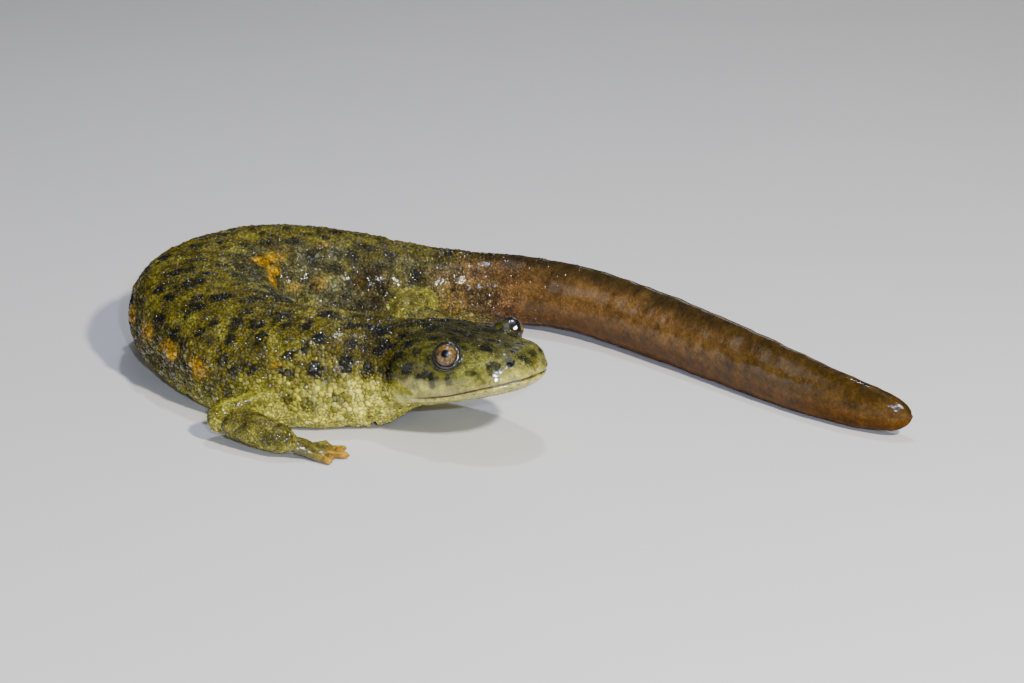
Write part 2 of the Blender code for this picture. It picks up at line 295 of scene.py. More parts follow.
class Eye:
    """An eye's middle, the way it looks, and what is up and to the front of it."""

    def __init__(self, node):
        low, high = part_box(node)
        self.node = node
        self.centre = np.array((low + high) / 2) / MM
        is_left = node.endswith("left")
        side = 1 if is_left else -1
        forward, left, up = (axis[0] for axis in axes_at(stations_of(self.centre[None])))
        self.look = unit(forward * EYE_LOOK[0] + left * (side * EYE_LOOK[1]) + up * EYE_LOOK[2])
        self.up = unit(up - self.look * (up @ self.look))
        self.front = np.cross(self.look, self.up) * side
        self.hang = LEFT_LID_HANG if is_left else 0.0

    def reach_and_angle(self, points):
        """How far points are from the eye's middle, and how many degrees from the way it looks."""
        apart = points - self.centre
        reach = np.linalg.norm(apart, axis=1)
        return reach, np.degrees(np.arccos(np.clip((apart @ self.look) / reach, -1, 1)))

    def seen(self, points):
        """How far points are ahead of the eye's middle, how far across, and how much of that is up."""
        apart = points - self.centre
        ahead = apart @ self.look
        across = np.sqrt(np.maximum((apart**2).sum(axis=1) - ahead**2, 0))
        return ahead, across, (apart @ self.up) / np.maximum(across, 0.1)


EYES_AT = [Eye(node) for node in EYES]


# ---- settings -------------------------------------------------------------------------------------------
def linear(text):
    """An sRGB colour written as six hex digits, as the linear numbers that a shader takes."""
    parts = [int(text[i:i + 2], 16) / 255 for i in (0, 2, 4)]
    return tuple(p / 12.92 if p <= 0.04045 else ((p + 0.055) / 1.055) ** 2.4 for p in parts)


def opaque(text):
    """The same with a fourth number, as a colour socket takes it."""
    return (*linear(text), 1)


def length_property(name, default_mm, description):
    """A length setting, given in millimetres."""
    return bpy.props.FloatProperty(
        name=name, default=default_mm * MM, min=0, unit="LENGTH", precision=6, description=description)


def colour_property(name, text, description):
    """A colour setting, given as hex."""
    return bpy.props.FloatVectorProperty(
        name=name, subtype="COLOR", size=3, min=0, max=1, default=linear(text), description=description)


class NewtSkinSettings(bpy.types.PropertyGroup):
    """The skin's mesh, and how far it lies inside the solids"""

    cell: length_property("Cell", 0.62, "Spacing of the skin's mesh before the head and feet are refined")
    depth_trunk: length_property("Depth on the trunk", 0.28, "How far the skin lies inside the trunk")
    depth_head: length_property("Depth on the head", 0.12, "How far the skin lies inside the head")
    depth_tail: length_property("Depth on the tail", 0.14, "How far the skin lies inside the tail")
    depth_feet: length_property("Depth on the feet", 0.06, "How far the skin lies inside the feet")
    seed: bpy.props.IntProperty(name="Seed", default=7, description="Places the blotches chosen by chance")


class NewtColours(bpy.types.PropertyGroup):
    """The colours of the skin"""

    olive: colour_property("Olive", "6c6216", "Ground colour of the back and flanks")
    grey_olive: colour_property("Grey olive", "55543a", "Ground colour of the far side and the pelvis")
    pale: colour_property("Pale", "a09a32", "Lower flanks and upper arms")
    cream: colour_property("Cream", "d2ca52", "Throat and belly")
    # The shade colour is also laid as painted shade along the lower right flank.
    shade: colour_property("Shade", "2a230a", "Brown clouds between the blotches")
    blotch: colour_property("Blotch", "121009", "The dark blotches")
    wart: colour_property("Wart", "b68a00", "The row of rib warts")
    head_olive: colour_property("Head olive", "5c5a1e", "Ground colour of the head")
    snout: colour_property("Snout", "84843c", "Sides of the snout")
    # Painted shadow: shaded brown laid in the gap before the left hind leg.
    hip_shadow: colour_property("Hip", "3a2c10", "Shaded brown before the hind legs")
    tail_tip: colour_property("Tail tip", "4a340a", "Side of the tail near its tip")
    crown: colour_property("Crown", "38340f", "Top of the head and the snout")
    cheek: colour_property("Cheek", "b6b040", "Side of the head behind the mouth")
    lip: colour_property("Lip", "9c9642", "Upper lip")
    lid: colour_property("Lid", "1a1518", "Moist ring of skin round the eye")
    tail_upper: colour_property("Tail above", "3c2e12", "Upper edge of the tail")
    tail_side: colour_property("Tail side", "72522a", "Side of the tail")
    # Partly painted shade: the lower edge's orange-brown is darkened for the shade under the tail.
    tail_below_and_shade: colour_property("Tail below", "5c3804", "Lower edge of the tail")
    forearm: colour_property("Forearm", "6a6228", "Forearms and shanks")
    toe: colour_property("Toe", "c08c08", "Fingers and toes")


class NewtCoatSettings(bpy.types.PropertyGroup):
    """How close the granules stand"""

    coarse: length_property("Coarse spacing", 0.8, "Least distance between pearls of the flanks")
    middle: length_property("Middle spacing", 0.46, "Least distance between granules of the trunk")
    fine: length_property("Fine spacing", 0.31, "Least distance between granules of the head")
    seed: bpy.props.IntProperty(name="Seed", default=3, description="Places the granules")


class NewtStageSettings(bpy.types.PropertyGroup):
    """The camera, floor and light"""

    lens: bpy.props.FloatProperty(
        name="Lens", default=100.0, min=1, unit="CAMERA", description="Focal length of the camera")
    floor: colour_property("Floor", "e2e0dc", "Plain matt floor")
    light: bpy.props.FloatProperty(
        name="Light", default=1.0, min=0, description="Strength of all the lamps together")


# ---- markings -------------------------------------------------------------------------------------------
# Dark blotches: station, turn, half length along the body and half width round it, in millimetres.
BLOTCHES = (
    (73, 26, 1.7, 2.2), (79, 26, 1.4, 1.8), (87, 46, 2.2, 1.5), (83, 14, 1.0, 2.0), (85, 61, 1.7, 1.6),
    (76, 52, 1.8, 1.3), (72, 51, 1.6, 1.1), (64, 16, 1.5, 2.0), (71, -6, 0.9, 2.2), (60, 0, 1.1, 1.9),
    (58, -26, 1.0, 2.6), (65, 46, 1.4, 2.2), (70, 67, 1.8, 1.3), (65, 73, 1.6, 1.6), (59, 49, 1.3, 1.1),
    (55, 40, 1.5, 1.6), (52, 34, 1.6, 1.4), (50, 46, 1.6, 1.3), (54, 56, 1.5, 1.6), (54, 74, 1.7, 1.4),
    (52, 82, 1.5, 1.0), (50, 76, 1.5, 1.0), (50, 8, 2.1, 2.0), (43, -4, 1.8, 1.5), (38, 16, 1.8, 1.3),
    (42, 41, 1.9, 1.3), (44, 52, 1.2, 1.6), (42, 71, 1.6, 1.4), (46, 76, 1.5, 1.2), (38, 66, 1.2, 1.6),
    (39, 97, 1.8, 1.0), (37, 42, 1.3, 1.2), (34, 68, 1.0, 1.3), (38, 59, 1.2, 1.3), (32, 21, 1.4, 1.8),
    (34, 14, 1.7, 1.2), (29, 20, 1.2, 1.6), (30, 42, 1.1, 1.3), (27, 70, 1.1, 1.2), (46, 60, 1.0, 0.9),
    (60, 62, 1.1, 1.2), (67, 35, 1.0, 1.2), (76, 5, 0.9, 1.4), (90, 20, 1.2, 1.6), (81, 75, 1.5, 1.2),
    (48, 28, 1.0, 1.0), (45, 25, 1.0, 1.2), (56, 22, 1.0, 1.2), (32, 52, 0.9, 1.0), (28, 46, 0.9, 1.0),
)
HEAD_SPOTS = (
    (22, 47, 1.1, 0.9), (19, 55, 0.9, 0.9), (20, 70, 1.0, 0.9), (16, 75, 1.3, 0.8), (21, 15, 1.1, 0.9),
    (16, 4, 1.8, 0.7), (8, 35, 1.3, 1.0), (5, 67, 1.1, 1.1), (4, 15, 0.8, 0.8), (8, 75, 1.1, 0.5),
    (12, 82, 0.6, 1.0), (15, 83, 0.7, 0.9), (22, -24, 1.4, 0.8), (12, -20, 1.6, 0.7), (26, 32, 1.0, 0.8),
    (13, 33, 1.2, 0.6), (24, 2, 1.6, 0.8), (0, 16, 0.9, 0.8), (3, 55, 0.6, 0.8), (11, 42, 0.9, 0.6),
    (18, 33, 1.4, 0.6), (9, 4, 1.5, 0.6), (23, 60, 0.8, 0.7), (19, -36, 1.3, 0.7),
)
# Rib warts: station, turn and reach.
WARTS_RIGHT = ((47, 71, 0.6), (58, 89, 1.9), (65, 85, 2.1), (72, 82, 1.8), (79, 83, 1.6), (87, 82, 1.6),
               (95, 82, 1.5), (103, 82, 1.4), (111, 81, 1.3), (119, 80, 1.1))
WARTS_LEFT = ((52, -80, 1.3), (60, -78, 1.3), (69, -76, 1.3), (78, -72, 1.4), (86, -66, 1.5), (94, -47, 1.7),
              (101, -47, 1.4), (95, -61, 1.3), (104, -78, 1.2), (113, -30, 1.0), (113, -76, 1.2),
              (120, -74, 1.0))


def on_surface(tree, station, turn):
    """The point of the surface at a station and turn, and the way it faces."""
    _, left, up = axes_at(station)
    angle = math.radians(turn)
    way = up * math.cos(angle) - left * math.sin(angle)
    start = spine_at(np.array(station, float))
    place, normal, _, _ = tree.ray_cast(Vector(start), Vector(way))
    if place is None:
        place, normal, _, _ = tree.find_nearest(Vector(start + way * 5))
    return np.array(place), np.array(normal)


RAGGED = 0.3  # how far a spot's edge wanders


def patch(points, tree, spot, lumps):
    """How deep each point is in a spot, (station, turn, half length, half width): 0.5 at its uneven edge."""
    station, turn, along, around = spot
    middle, facing = on_surface(tree, station, turn)
    forward = axes_at(station)[0]
    forward = unit(forward - facing * (forward @ facing))
    across = np.cross(facing, forward)
    apart = points - middle
    near = np.abs(apart).max(axis=1) < 2.2 * max(along, around) + 1
    value = np.zeros(len(points))
    apart = apart[near]
    reach = np.hypot(apart @ forward / along, apart @ across / around)
    reach += np.abs(apart @ facing) * 0.4
    reach += RAGGED * lumps[near]
    value[near] = np.clip(1.25 - 0.75 * reach, 0, 1)
    return value


# ---- the skin's shape -----------------------------------------------------------------------------------
GROWN = 0.5  # how far the solids swell before they are made one, which closes the cuts between them
EYE_FILL = 2.3  # reach of the flesh round an eye's middle


def swollen_flesh():
    """The flesh nodes swollen into each other, in one mesh of millimetres."""
    whole = bmesh.new()
    for name in FLESH:
        part = bmesh.new()
        part.from_mesh(NODES[name].data)
        bmesh.ops.remove_doubles(part, verts=part.verts, dist=1e-6)
        part.normal_update()
        grown = [vert.co / MM + vert.normal * GROWN for vert in part.verts]
        for vert, place in zip(part.verts, grown):
            vert.co = place
        mesh = bpy.data.meshes.new("part")
        part.to_mesh(mesh)
        part.free()
        whole.from_mesh(mesh)
        bpy.data.meshes.remove(mesh)
    for eye in EYES_AT:
        made = bmesh.ops.create_uvsphere(whole, u_segments=24, v_segments=16, radius=EYE_FILL + GROWN)
        bmesh.ops.translate(whole, verts=made["verts"], vec=Vector(eye.centre))
    mesh = bpy.data.meshes.new("flesh")
    whole.to_mesh(mesh)
    whole.free()
    return mesh


def evaluated_mesh(obj):
    """The plain mesh that an object's modifiers make. The modifiers are removed."""
    graph = bpy.context.evaluated_depsgraph_get()
    mesh = bpy.data.meshes.new_from_object(
        obj.evaluated_get(graph), preserve_all_data_layers=True, depsgraph=graph)
    obj.modifiers.clear()
    return mesh


def remeshed(mesh, cell):
    """One closed surface round everything in the mesh."""
    obj = bpy.data.objects.new("flesh", mesh)
    bpy.context.scene.collection.objects.link(obj)
    remesh = obj.modifiers.new("Remesh", "REMESH")
    remesh.mode = "VOXEL"
    remesh.voxel_size = cell
    made = evaluated_mesh(obj)
    bpy.data.objects.remove(obj)
    return made


def refine(mesh, wanted):
    """Cuts each face whose points are all wanted in four."""
    cut = bmesh.new()
    cut.from_mesh(mesh)
    cut.verts.ensure_lookup_table()
    edges = [edge for edge in cut.edges if wanted[edge.verts[0].index] and wanted[edge.verts[1].index]]
    bmesh.ops.subdivide_edges(cut, edges=edges, cuts=1, use_grid_fill=True)
    cut.to_mesh(mesh)
    cut.free()


def coat_depth(places, settings):
    """How far under the solids' surface the skin lies at each point."""
    trunk, head, tail, feet = (
        getattr(settings, "depth_" + part) / MM for part in ("trunk", "head", "tail", "feet"))
    depth = np.full(len(places.names), trunk)
    depth += (head - depth) * (1 - soft_step(24, 34, places.station))
    depth += (tail - depth) * soft_step(134, 156, places.station)
    depth[on_nodes(places.names) > 0] = (trunk + feet) / 2
    depth[on_nodes(places.names, end="_foot") > 0] = feet
    return depth


FLOOR_SPACE = 0.06  # between the skin's underside and the floor
# The round of flesh that holds an eye: its reach, how far it is set back, and how much lower its skin lies.
DOME_REACH, DOME_INSET, DOME_LOWER = 2.85, 0.8, 0.34


def draw_in(mesh, flesh, settings, only=None, share=1.0):
    """Moves the points to their depth under the solids' surface, and gives their nodes' names."""
    points, edges, normals = mesh_arrays(mesh)
    heights, names = flesh.below(points)
    places = Places(points, names)
    depth = spread(coat_depth(places, settings), edges, 6)
    for eye in EYES_AT:  # the flesh that fills the sockets, and the domes, lower than the solids have them
        reach, angle = eye.reach_and_angle(points)
        inside = soft_step(3.1, 2.7, reach) * soft_step(102, 88, angle)
        behind = np.linalg.norm(points - eye.centre + eye.look * DOME_INSET, axis=1)
        dome = soft_step(DOME_REACH + 0.2, DOME_REACH, behind)
        heights = heights * (1 - dome) + (behind - DOME_REACH + DOME_LOWER) * dome
        heights = heights * (1 - inside) + (reach - EYE_FILL - depth) * inside
    move = np.clip(-(heights + depth), -1.0, 1.0) * share
    # Over the slit of the mouth the skin runs on from lip to lip.
    slit = (np.abs(places.gape) < 0.45) & (places.station < JAW_CORNER + 1.8)
    known = np.where(slit, 0.0, 1.0)
    nearby = spread(move * known, edges, 8) / np.maximum(spread(known, edges, 8), 1e-3)
    move = np.where(slit, nearby, move)
    if only is not None:
        move *= only
    points += normals * move[:, None]
    points[:, 2] = np.maximum(points[:, 2], FLOOR_SPACE)
    set_points(mesh, points)
    return names


def make_skin_mesh(settings):
    """The skin's plain surface, finer on the head and feet and finest at the eyes, mouth and nostrils."""
    flesh = Flesh()
    mesh = remeshed(swollen_flesh(), settings.cell / MM)
    for times in (10, 5, 3):
        points, edges, _ = mesh_arrays(mesh)
        set_points(mesh, spread(points, edges, times))
        names = draw_in(mesh, flesh, settings)
    for level in range(2):
        points, edges, _ = mesh_arrays(mesh)
        places = Places(points, names)
        refine(mesh, spread(wanted_finer(places, flesh, level).astype(float), edges, 2) > 0.3)
        points, edges, _ = mesh_arrays(mesh)
        again = wanted_again(Places(points, flesh.below(points)[1]), level)
        set_points(mesh, relaxed(points, edges, 4, again))
        names = draw_in(mesh, flesh, settings, only=again, share=0.7)
    points, edges, _ = mesh_arrays(mesh)
    body = spread(1 - on_nodes(names), edges, 3) * soft_step(24, 30, stations_of(points))
    set_points(mesh, relaxed(spread(points, edges, 2, 0.4), edges, 6, body))
    run_domes_in(mesh)
    return mesh, flesh


def wanted_finer(places, flesh, level):
    """Which points' faces are cut in four: first the head and feet, then the head's finest places."""
    if level == 1:
        return fine_places(places, flesh)
    head = (places.station < 27) & (on_nodes(places.names) == 0)
    return head | (on_nodes(places.names, end="_foot") > 0)


def wanted_again(places, level):
    """Where a refined surface is smoothed and drawn in once more."""
    head = 1 - soft_step(25, 28, places.station)
    return np.maximum(head, on_nodes(places.names, end="_foot")) if level == 0 else head * 0.6


def run_domes_in(mesh):
    """Fills the hollow at the foot of each eye's dome, so that it runs into the head without an edge."""
    points, edges, normals = mesh_arrays(mesh)
    around = np.zeros(len(points))
    for eye in EYES_AT:
        reach, angle = eye.reach_and_angle(points)
        foot = soft_step(72, 84, angle) * (1 - 0.7 * soft_step(96, 116, angle))
        around = np.maximum(around, soft_step(5.8, 4.4, reach) * foot)
    hollow = ((spread(points, edges, 70) - points) * normals).sum(axis=1)
    filled = spread(np.clip(hollow, 0, 0.9) * around, edges, 4)
    set_points(mesh, relaxed(points + normals * filled[:, None], edges, 3, around))


NOSTRIL = (3.05, 56)  # station, and turn to either side


def nostril_reach(points, flesh):
    """How far each point is from the nearer nostril, a slit that rises towards the snout tip."""
    forward, _, upward = axes_at(NOSTRIL[0])
    slit = forward * 0.96 + upward * 0.28
    nearest = np.full(len(points), 99.0)
    for side in (1, -1):
        apart = points - on_surface(flesh.tree, NOSTRIL[0], side * NOSTRIL[1])[0]
        along = apart @ slit
        wide = np.maximum((apart**2).sum(axis=1) - along**2, 0)
        nearest = np.minimum(nearest, np.sqrt(wide + (along / 2.5) ** 2))
    return nearest


def fine_places(places, flesh):
    """Where the head needs its finest mesh."""
    fine = (np.abs(places.gape) < 1.0) & (places.station < JAW_CORNER + 2)
    fine |= nostril_reach(places.points, flesh) < 1.1
    for eye in EYES_AT:
        reach, _ = eye.reach_and_angle(places.points)
        ahead, across, _ = eye.seen(places.points)
        fine |= (reach < 4.2) & (ahead > -0.8) & (across > 1.5)
    return fine


# Lids: the opening's half angle, the lid's reach from the eye's middle, and how far the skin runs under it.
OPENING, LID_REACH, UNDER_EYE = 64.0, 2.32, 1.7
BROW = 0.04  # how far the upper lid swells
BALL = 2.12  # reach of the eyeball
CORNEA = 0.1  # how far the cornea stands out over it


def shaped_lids(points):
    """Opens the skin over each eyeball, with a rounded lid round the opening."""
    for eye in EYES_AT:
        apart = points - eye.centre
        distance = np.linalg.norm(apart, axis=1)
        way = apart / distance[:, None]
        angle = np.degrees(np.arccos(np.clip(way @ eye.look, -1, 1)))
        upward = (way @ eye.up) / np.maximum(np.sin(np.radians(angle)), 0.05)
        fore = (way @ eye.front) / np.maximum(np.sin(np.radians(angle)), 0.05)
        opening = OPENING - 9 * np.maximum(upward, 0) + 3 * np.maximum(-upward, 0)
        opening -= eye.hang * soft_step(0.2, 0.9, 0.7 * upward + 0.71 * fore)
        past = angle - opening
        brow = BROW * soft_step(-0.2, 0.8, upward) * bump(16, 13, past)
        lower = 0.1 * soft_step(0.0, 0.8, -upward) * bump(8, 8, past)
        lid = LID_REACH + brow + lower
        rim = UNDER_EYE + (lid - UNDER_EYE) * soft_step(-5, 2, past)
        settle = soft_step(44, 16, past) * soft_step(3.3, 2.75, distance)
        target = rim * settle + distance * (1 - settle)
        points += way * (target - distance)[:, None]
    return points


def lid_fold(points, eye):
    """1 along the fold that parts the lower lid from the cheek."""
    ahead, across, rise = eye.seen(points)
    return bump(3.05, 0.22, across) * soft_step(0.35, -0.5, rise) * (ahead > -1.2) * (ahead < 3)


# How far the skin stands out, or sinks if negative, at each point. The body is 1 off the legs.
def trunk_folds(places, waver, body):
    """Costal grooves between the ribs, wrinkles of the inner bend and neck, and the furrow of the back."""
    station, turn, side = places.station, places.turn, places.side
    trunk = soft_step(36, 44, station) * (1 - soft_step(124, 136, station)) * body
    flank = soft_step(35, 60, side) * (1 - soft_step(115, 150, side))
    height = -0.3 * trunk * flank * bump(0.5, 0.11, (station / 7.4 + waver * 0.06) % 1)
    inner = soft_step(10, 40, -turn) * (1 - soft_step(100, 130, -turn))
    bend = soft_step(50, 62, station) * (1 - soft_step(104, 114, station))
    height -= 0.42 * bend * inner * body * bump(0.5, 0.16, (station / 3.1 + waver * 0.25) % 1)
    neck = soft_step(21, 26, station) * (1 - soft_step(36, 42, station)) * body
    sides = soft_step(20, 40, side) * (1 - soft_step(85, 105, side))
    height -= 0.13 * neck * sides * bump(0.5, 0.2, (station / 1.15 + waver * 0.5) % 1)
    back = soft_step(30, 50, station) * (1 - soft_step(118, 130, station)) * body
    return height - 0.22 * back * bump(0, 7, turn)


def throat_folds(places, waver, body):
    """The crease across the throat, with the loose throat bulging before it, and a second one behind."""
    station, side = places.station, places.side
    crease = 35.6 - 1.6 * soft_step(80, 130, side) + waver * 0.3
    across = soft_step(52, 80, side) * body
    height = -0.75 * across * bump(0, 0.55, station - crease)
    height += 0.35 * across * soft_step(85, 110, side) * bump(-3.2, 2.6, station - crease)
    second = bump(0, 0.5, station - crease - 6.2 - waver * 0.5)
    return height - 0.4 * across * second * soft_step(95, 75, side)


def warts(points, flesh):
    """The domes over the ribs' ends."""
    height = np.zeros(len(points))
    for station, turn, reach in (*WARTS_RIGHT, *WARTS_LEFT):
        middle, _ = on_surface(flesh.tree, station, turn)
        height += 0.62 * bump(0, reach * 0.75, np.linalg.norm(points - middle, axis=1))
    return height


def tail_folds(places, waver, body):
    """The tail's upper and lower edges, and the lines of its muscles."""
    station, side = places.station, places.side
    tail = soft_step(134, 150, station) * body
    edge = bump(0, 16, places.turn) * 0.35 + bump(180, 14, side) * 0.12
    line = bump(0.5, 0.14, ((station + side * 0.03) / 3.6 + waver * 0.05) % 1)
    return tail * edge * (1 - soft_step(228, 240, station)) - 0.1 * tail * line * bump(75, 50, side)


def head_folds(places, flesh, body):
    """The mouth, the ridge from eye to nostril, the cheek, the glands behind the eye, and the nostrils."""
    station, turn, side, points = places.station, places.turn, places.side, places.points
    head = (1 - soft_step(24, 28, station)) * body
    lips = head * soft_step(JAW_CORNER + 1.0, JAW_CORNER - 1.5, station)
    swell = 0.16 * bump(0.62, 0.45, places.gape) + 0.06 * bump(-0.6, 0.35, places.gape)
    height = lips * soft_step(0, 2.5, station) * swell
    height -= 0.55 * bump(0, 1.9, np.linalg.norm(points - spine_at(0.0), axis=1))
    height -= lips * 0.4 * bump(0, 0.17, places.gape)
    # Height, station and its reach, angle and its reach: cheek, snout's side, nostril ridge, glands.
    for rise, at, along, angle, around in (
            (0.3, 19.5, 4.5, 62, 16), (-0.22, 8.5, 2.6, 52, 12),
            (0.2, 4.0, 2.5, 38, 12), (0.18, 20, 3.5, 28, 14)):
        height += head * rise * bump(at, along, station) * bump(angle, around, side)
    height -= head * 0.2 * bump(9, 6, station) * bump(0, 12, turn)
    height += head * 0.06 * cloud(points, 1.6, 2) + body * 0.1 * cloud(points, 3.2, 3) * (1 - head)
    nostril = nostril_reach(points, flesh)
    height += 0.08 * bump(0.66, 0.3, nostril) - 0.9 * bump(0, 0.34, nostril)
    for eye in EYES_AT:
        height -= 0.16 * lid_fold(points, eye)
    return height


def folds(places, edges, flesh):
    """How far the skin stands out for all its folds, warts and creases."""
    body = spread(1 - on_nodes(places.names), edges, 3)
    waver = cloud(places.points, 6, 1)
    return (
        trunk_folds(places, waver, body) + throat_folds(places, waver, body) + tail_folds(places, waver, body)
        + warts(places.points, flesh) * body + head_folds(places, flesh, body))


# ---- colours, and how the granules lie ------------------------------------------------------------------
# Fixed colours: pigment of the blotches, the crack of the mouth with painted shade in its slit, dark specks,
# and painted shade at the granules' roots.
PIGMENT, MOUTH_CRACK_AND_SHADE, DARK_SPECK, GRANULE_ROOT_SHADE = "0a0b0d", "5a3422", "33240f", "54523c"


def mixed(base, colour, share):
    """The colours with a share of another laid over them."""
    share = np.clip(share, 0, 1)[:, None]
    return base * (1 - share) + np.array(colour) * share


def chance_spots(places, where, spacing, count, seed):
    """Points picked by chance where it is allowed, none nearer to another than the spacing."""
    choose = np.random.default_rng(seed)
    picked = []
    for i in choose.permutation(np.flatnonzero(where)):
        point = places.points[i]
        if all(np.linalg.norm(point - other) > spacing for other in picked):
            picked.append(point)
        if len(picked) == count:
            break
    return picked


def blotched(places, tree, seed):
    """How deep each point is in a dark blotch: placed ones, and others chosen by chance elsewhere."""
    points, station, turn = places.points, places.station, places.turn
    lumps = cloud(points, 1.3, 11)
    ragged = cloud(points, 2.4, 12)
    spots = list(HEAD_SPOTS)
    spots += [(at + 0.8, -angle - 4, along, around) for at, angle, along, around in HEAD_SPOTS if angle > 10]
    for at, angle, along, around in BLOTCHES:
        wide = 1.15 if at > 60 else 1.05
        round_body = wide + 0.35 * float(soft_step(45, 25, angle))
        spots.append((at, angle, along * wide, around * round_body))
    dark = np.max([patch(points, tree, spot, lumps) for spot in spots], axis=0)
    placed = (turn > -28) & (turn < 100) & (station < 92)
    free = ~placed & (places.side < 105) & (station > 24) & (station < 140)
    smaller = (on_nodes(places.names) > 0) | (station > 140)
    choose = np.random.default_rng(seed)
    for where, spacing, count, low, high in ((free, 4.0, 170, 0.5, 1.5), (smaller, 3.0, 240, 0.5, 1.1)):
        for middle in chance_spots(places, where, spacing, count, seed):
            reach = low + (high - low) * choose.random()
            apart = np.linalg.norm(points - middle, axis=1) / reach + 0.35 * lumps
            dark = np.maximum(dark, np.clip(1.25 - 0.75 * apart, 0, 1))
    # Long dark streaks in the folds of the inner bend.
    streaks = soft_step(-8, -18, turn) * soft_step(-62, -44, turn) * soft_step(50, 56, station)
    streaks *= soft_step(88, 80, station)
    return np.maximum(dark, streaks * np.clip(0.35 + 0.5 * ragged, 0, 1))


def warty(places, tree):
    """Where the orange of the rib warts lies."""
    lumps = cloud(places.points, 1.0, 14)
    spots = [(at, angle, reach * 1.45, reach) for at, angle, reach in (*WARTS_RIGHT, *WARTS_LEFT)]
    orange = np.max([patch(places.points, tree, spot, lumps) for spot in spots], axis=0)
    faint = soft_step(97, 103, places.station) * (places.turn < 0)
    return soft_step(0.3, 0.65, orange) * (1 - 0.7 * faint)


def painted(tone, colours, *layers):
    """The tone with layers laid over it in turn, each the name of a colour setting and its share."""
    for name, share in layers:
        tone = mixed(tone, getattr(colours, name), share)
    return tone


def trunk_tone(places, patchy, fine, colours):
    """Olive above, paler on the flanks and cream below, with brown clouds, painted shade along the lower
    right flank, and a pale throat.
    """
    station, turn, side = places.station, places.turn, places.side
    later = soft_step(48, 60, station)
    shaded = 0.5 * soft_step(-0.1, 0.8, cloud(places.points, 3.0, 24)) * soft_step(104, 76, side)
    dusky = soft_step(17, 22, station) * soft_step(42, 34, station)
    dusky = dusky * soft_step(90, 64, side + patchy * 14 + fine * 8)
    # Painted shade along the lower right flank, from behind the foreleg back.
    low = soft_step(56, 64, station) * soft_step(62, 84, turn) * soft_step(118, 104, turn)
    throat = soft_step(19, 24, station) * soft_step(42, 36, station) * soft_step(76, 92, side + patchy * 5)
    return painted(
        np.tile(np.array(colours.olive), (len(station), 1)), colours,
        ("grey_olive", 0.75 * soft_step(-5, -40, turn) * soft_step(45, 70, station)),
        ("pale", 0.7 * soft_step(62, 100, side + patchy * 14 - 36 * later)),
        ("cream", soft_step(98, 128, side + patchy * 10 - 12 * later)),
        ("pale", 0.35 * soft_step(0.1, 0.7, patchy)),
        ("olive", 0.5 * soft_step(0.1, 0.7, -patchy) * soft_step(110, 80, side)),
        ("shade", shaded * soft_step(132, 120, station)),
        # The neck's dusky side, the painted shade of the lower right flank, and a little darker above.
        ("shade", 0.5 * dusky + 0.4 * low * (1 - dusky) + 0.1 * soft_step(90, 70, side)),
        ("cream", throat),
        ("cream", 0.6 * bump(40, 4.5, station) * bump(98, 17, side)))


def head_tone(tone, places, fine, head, jaw, colours):
    """The tone with the head's over it: a dark streaked crown, paler snout and cheeks, and the lips."""
    station, side, gape = places.station, places.side, places.gape
    grain = np.stack([station / 3.4, places.out / 0.8, places.over / 0.8], axis=1)
    streaked = cloud(grain, 1.0, 23)
    crown = soft_step(60, 24, side + streaked * 16 + fine * 6) * (1 - 0.55 * soft_step(13, 5, station))
    streaks = soft_step(29, 22, station) * soft_step(0.3, 0.6, streaked) * soft_step(75, 45, side)
    brow = soft_step(84, 62, side + fine * 8) * soft_step(2, 6, station)
    upper_lip = soft_step(2.6, 0.9, gape + fine * 0.5) * soft_step(20, 12, station)
    return painted(
        tone, colours,
        ("head_olive", 0.9 * head * soft_step(100, 70, side)),
        ("snout", soft_step(13, 9, station) * soft_step(30, 48, side)),
        ("head_olive", 0.65 * head * brow),
        ("crown", 0.9 * head * crown),
        ("blotch", 0.95 * streaks * (1 - 0.7 * soft_step(14, 9, station))),
        ("lip", head * soft_step(9, 3, station) * soft_step(20, 50, side) * 0.4),
        ("cheek", soft_step(77, 88, side + fine * 4) * bump(18.3, 5.0, station) * head),
        ("lip", head * upper_lip),
        ("cream", jaw * 0.85),
        ("cheek", jaw * soft_step(-1.6, -3.2, gape) * 0.6))


def tail_tone(places, patchy, colours):
    """The tail's tone: brown sides, dark along the top, orange below darkened with painted shade, and dusky
    to its tip.
    """
    station, side = places.station, places.side
    tone = painted(
        np.array(colours.tail_side) * (1 + 0.26 * patchy[:, None]), colours,
        ("tail_upper", soft_step(52, 8, side + patchy * 8)),
        ("tail_below_and_shade", soft_step(98, 132, side + patchy * 6)),
        ("tail_upper", 0.35 * soft_step(214, 236, station) * soft_step(120, 80, side)),
        ("tail_tip", 0.6 * soft_step(180, 214, station) * soft_step(118, 98, side)))
    return tone * (1 - 0.1 * soft_step(185, 222, station))[:, None]


def leg_tone(tone, places, normals, colours):
    """The tone with the legs' over it: pale upper legs, cream below, and orange toes."""
    light = soft_step(-0.7, 0.2, -normals[:, 2])
    for start, share in (("foreleg", 1.0), ("hindleg", 0.8)):
        upper, lower, foot = (on_nodes(places.names, start, end) for end in ("_upper", "_lower", "_foot"))
        tone = painted(
            tone, colours,
            ("pale", upper * 0.8 * share),
            ("tail_side", upper * 0.8 * (1 - share)),
            ("cream", upper * light * 0.8),
            ("forearm", lower * 0.85),
            ("pale", lower * light * 0.7),
            ("forearm", foot * 0.9))
    return painted(tone, colours, ("toe", toe_share(places.points, places.names)))


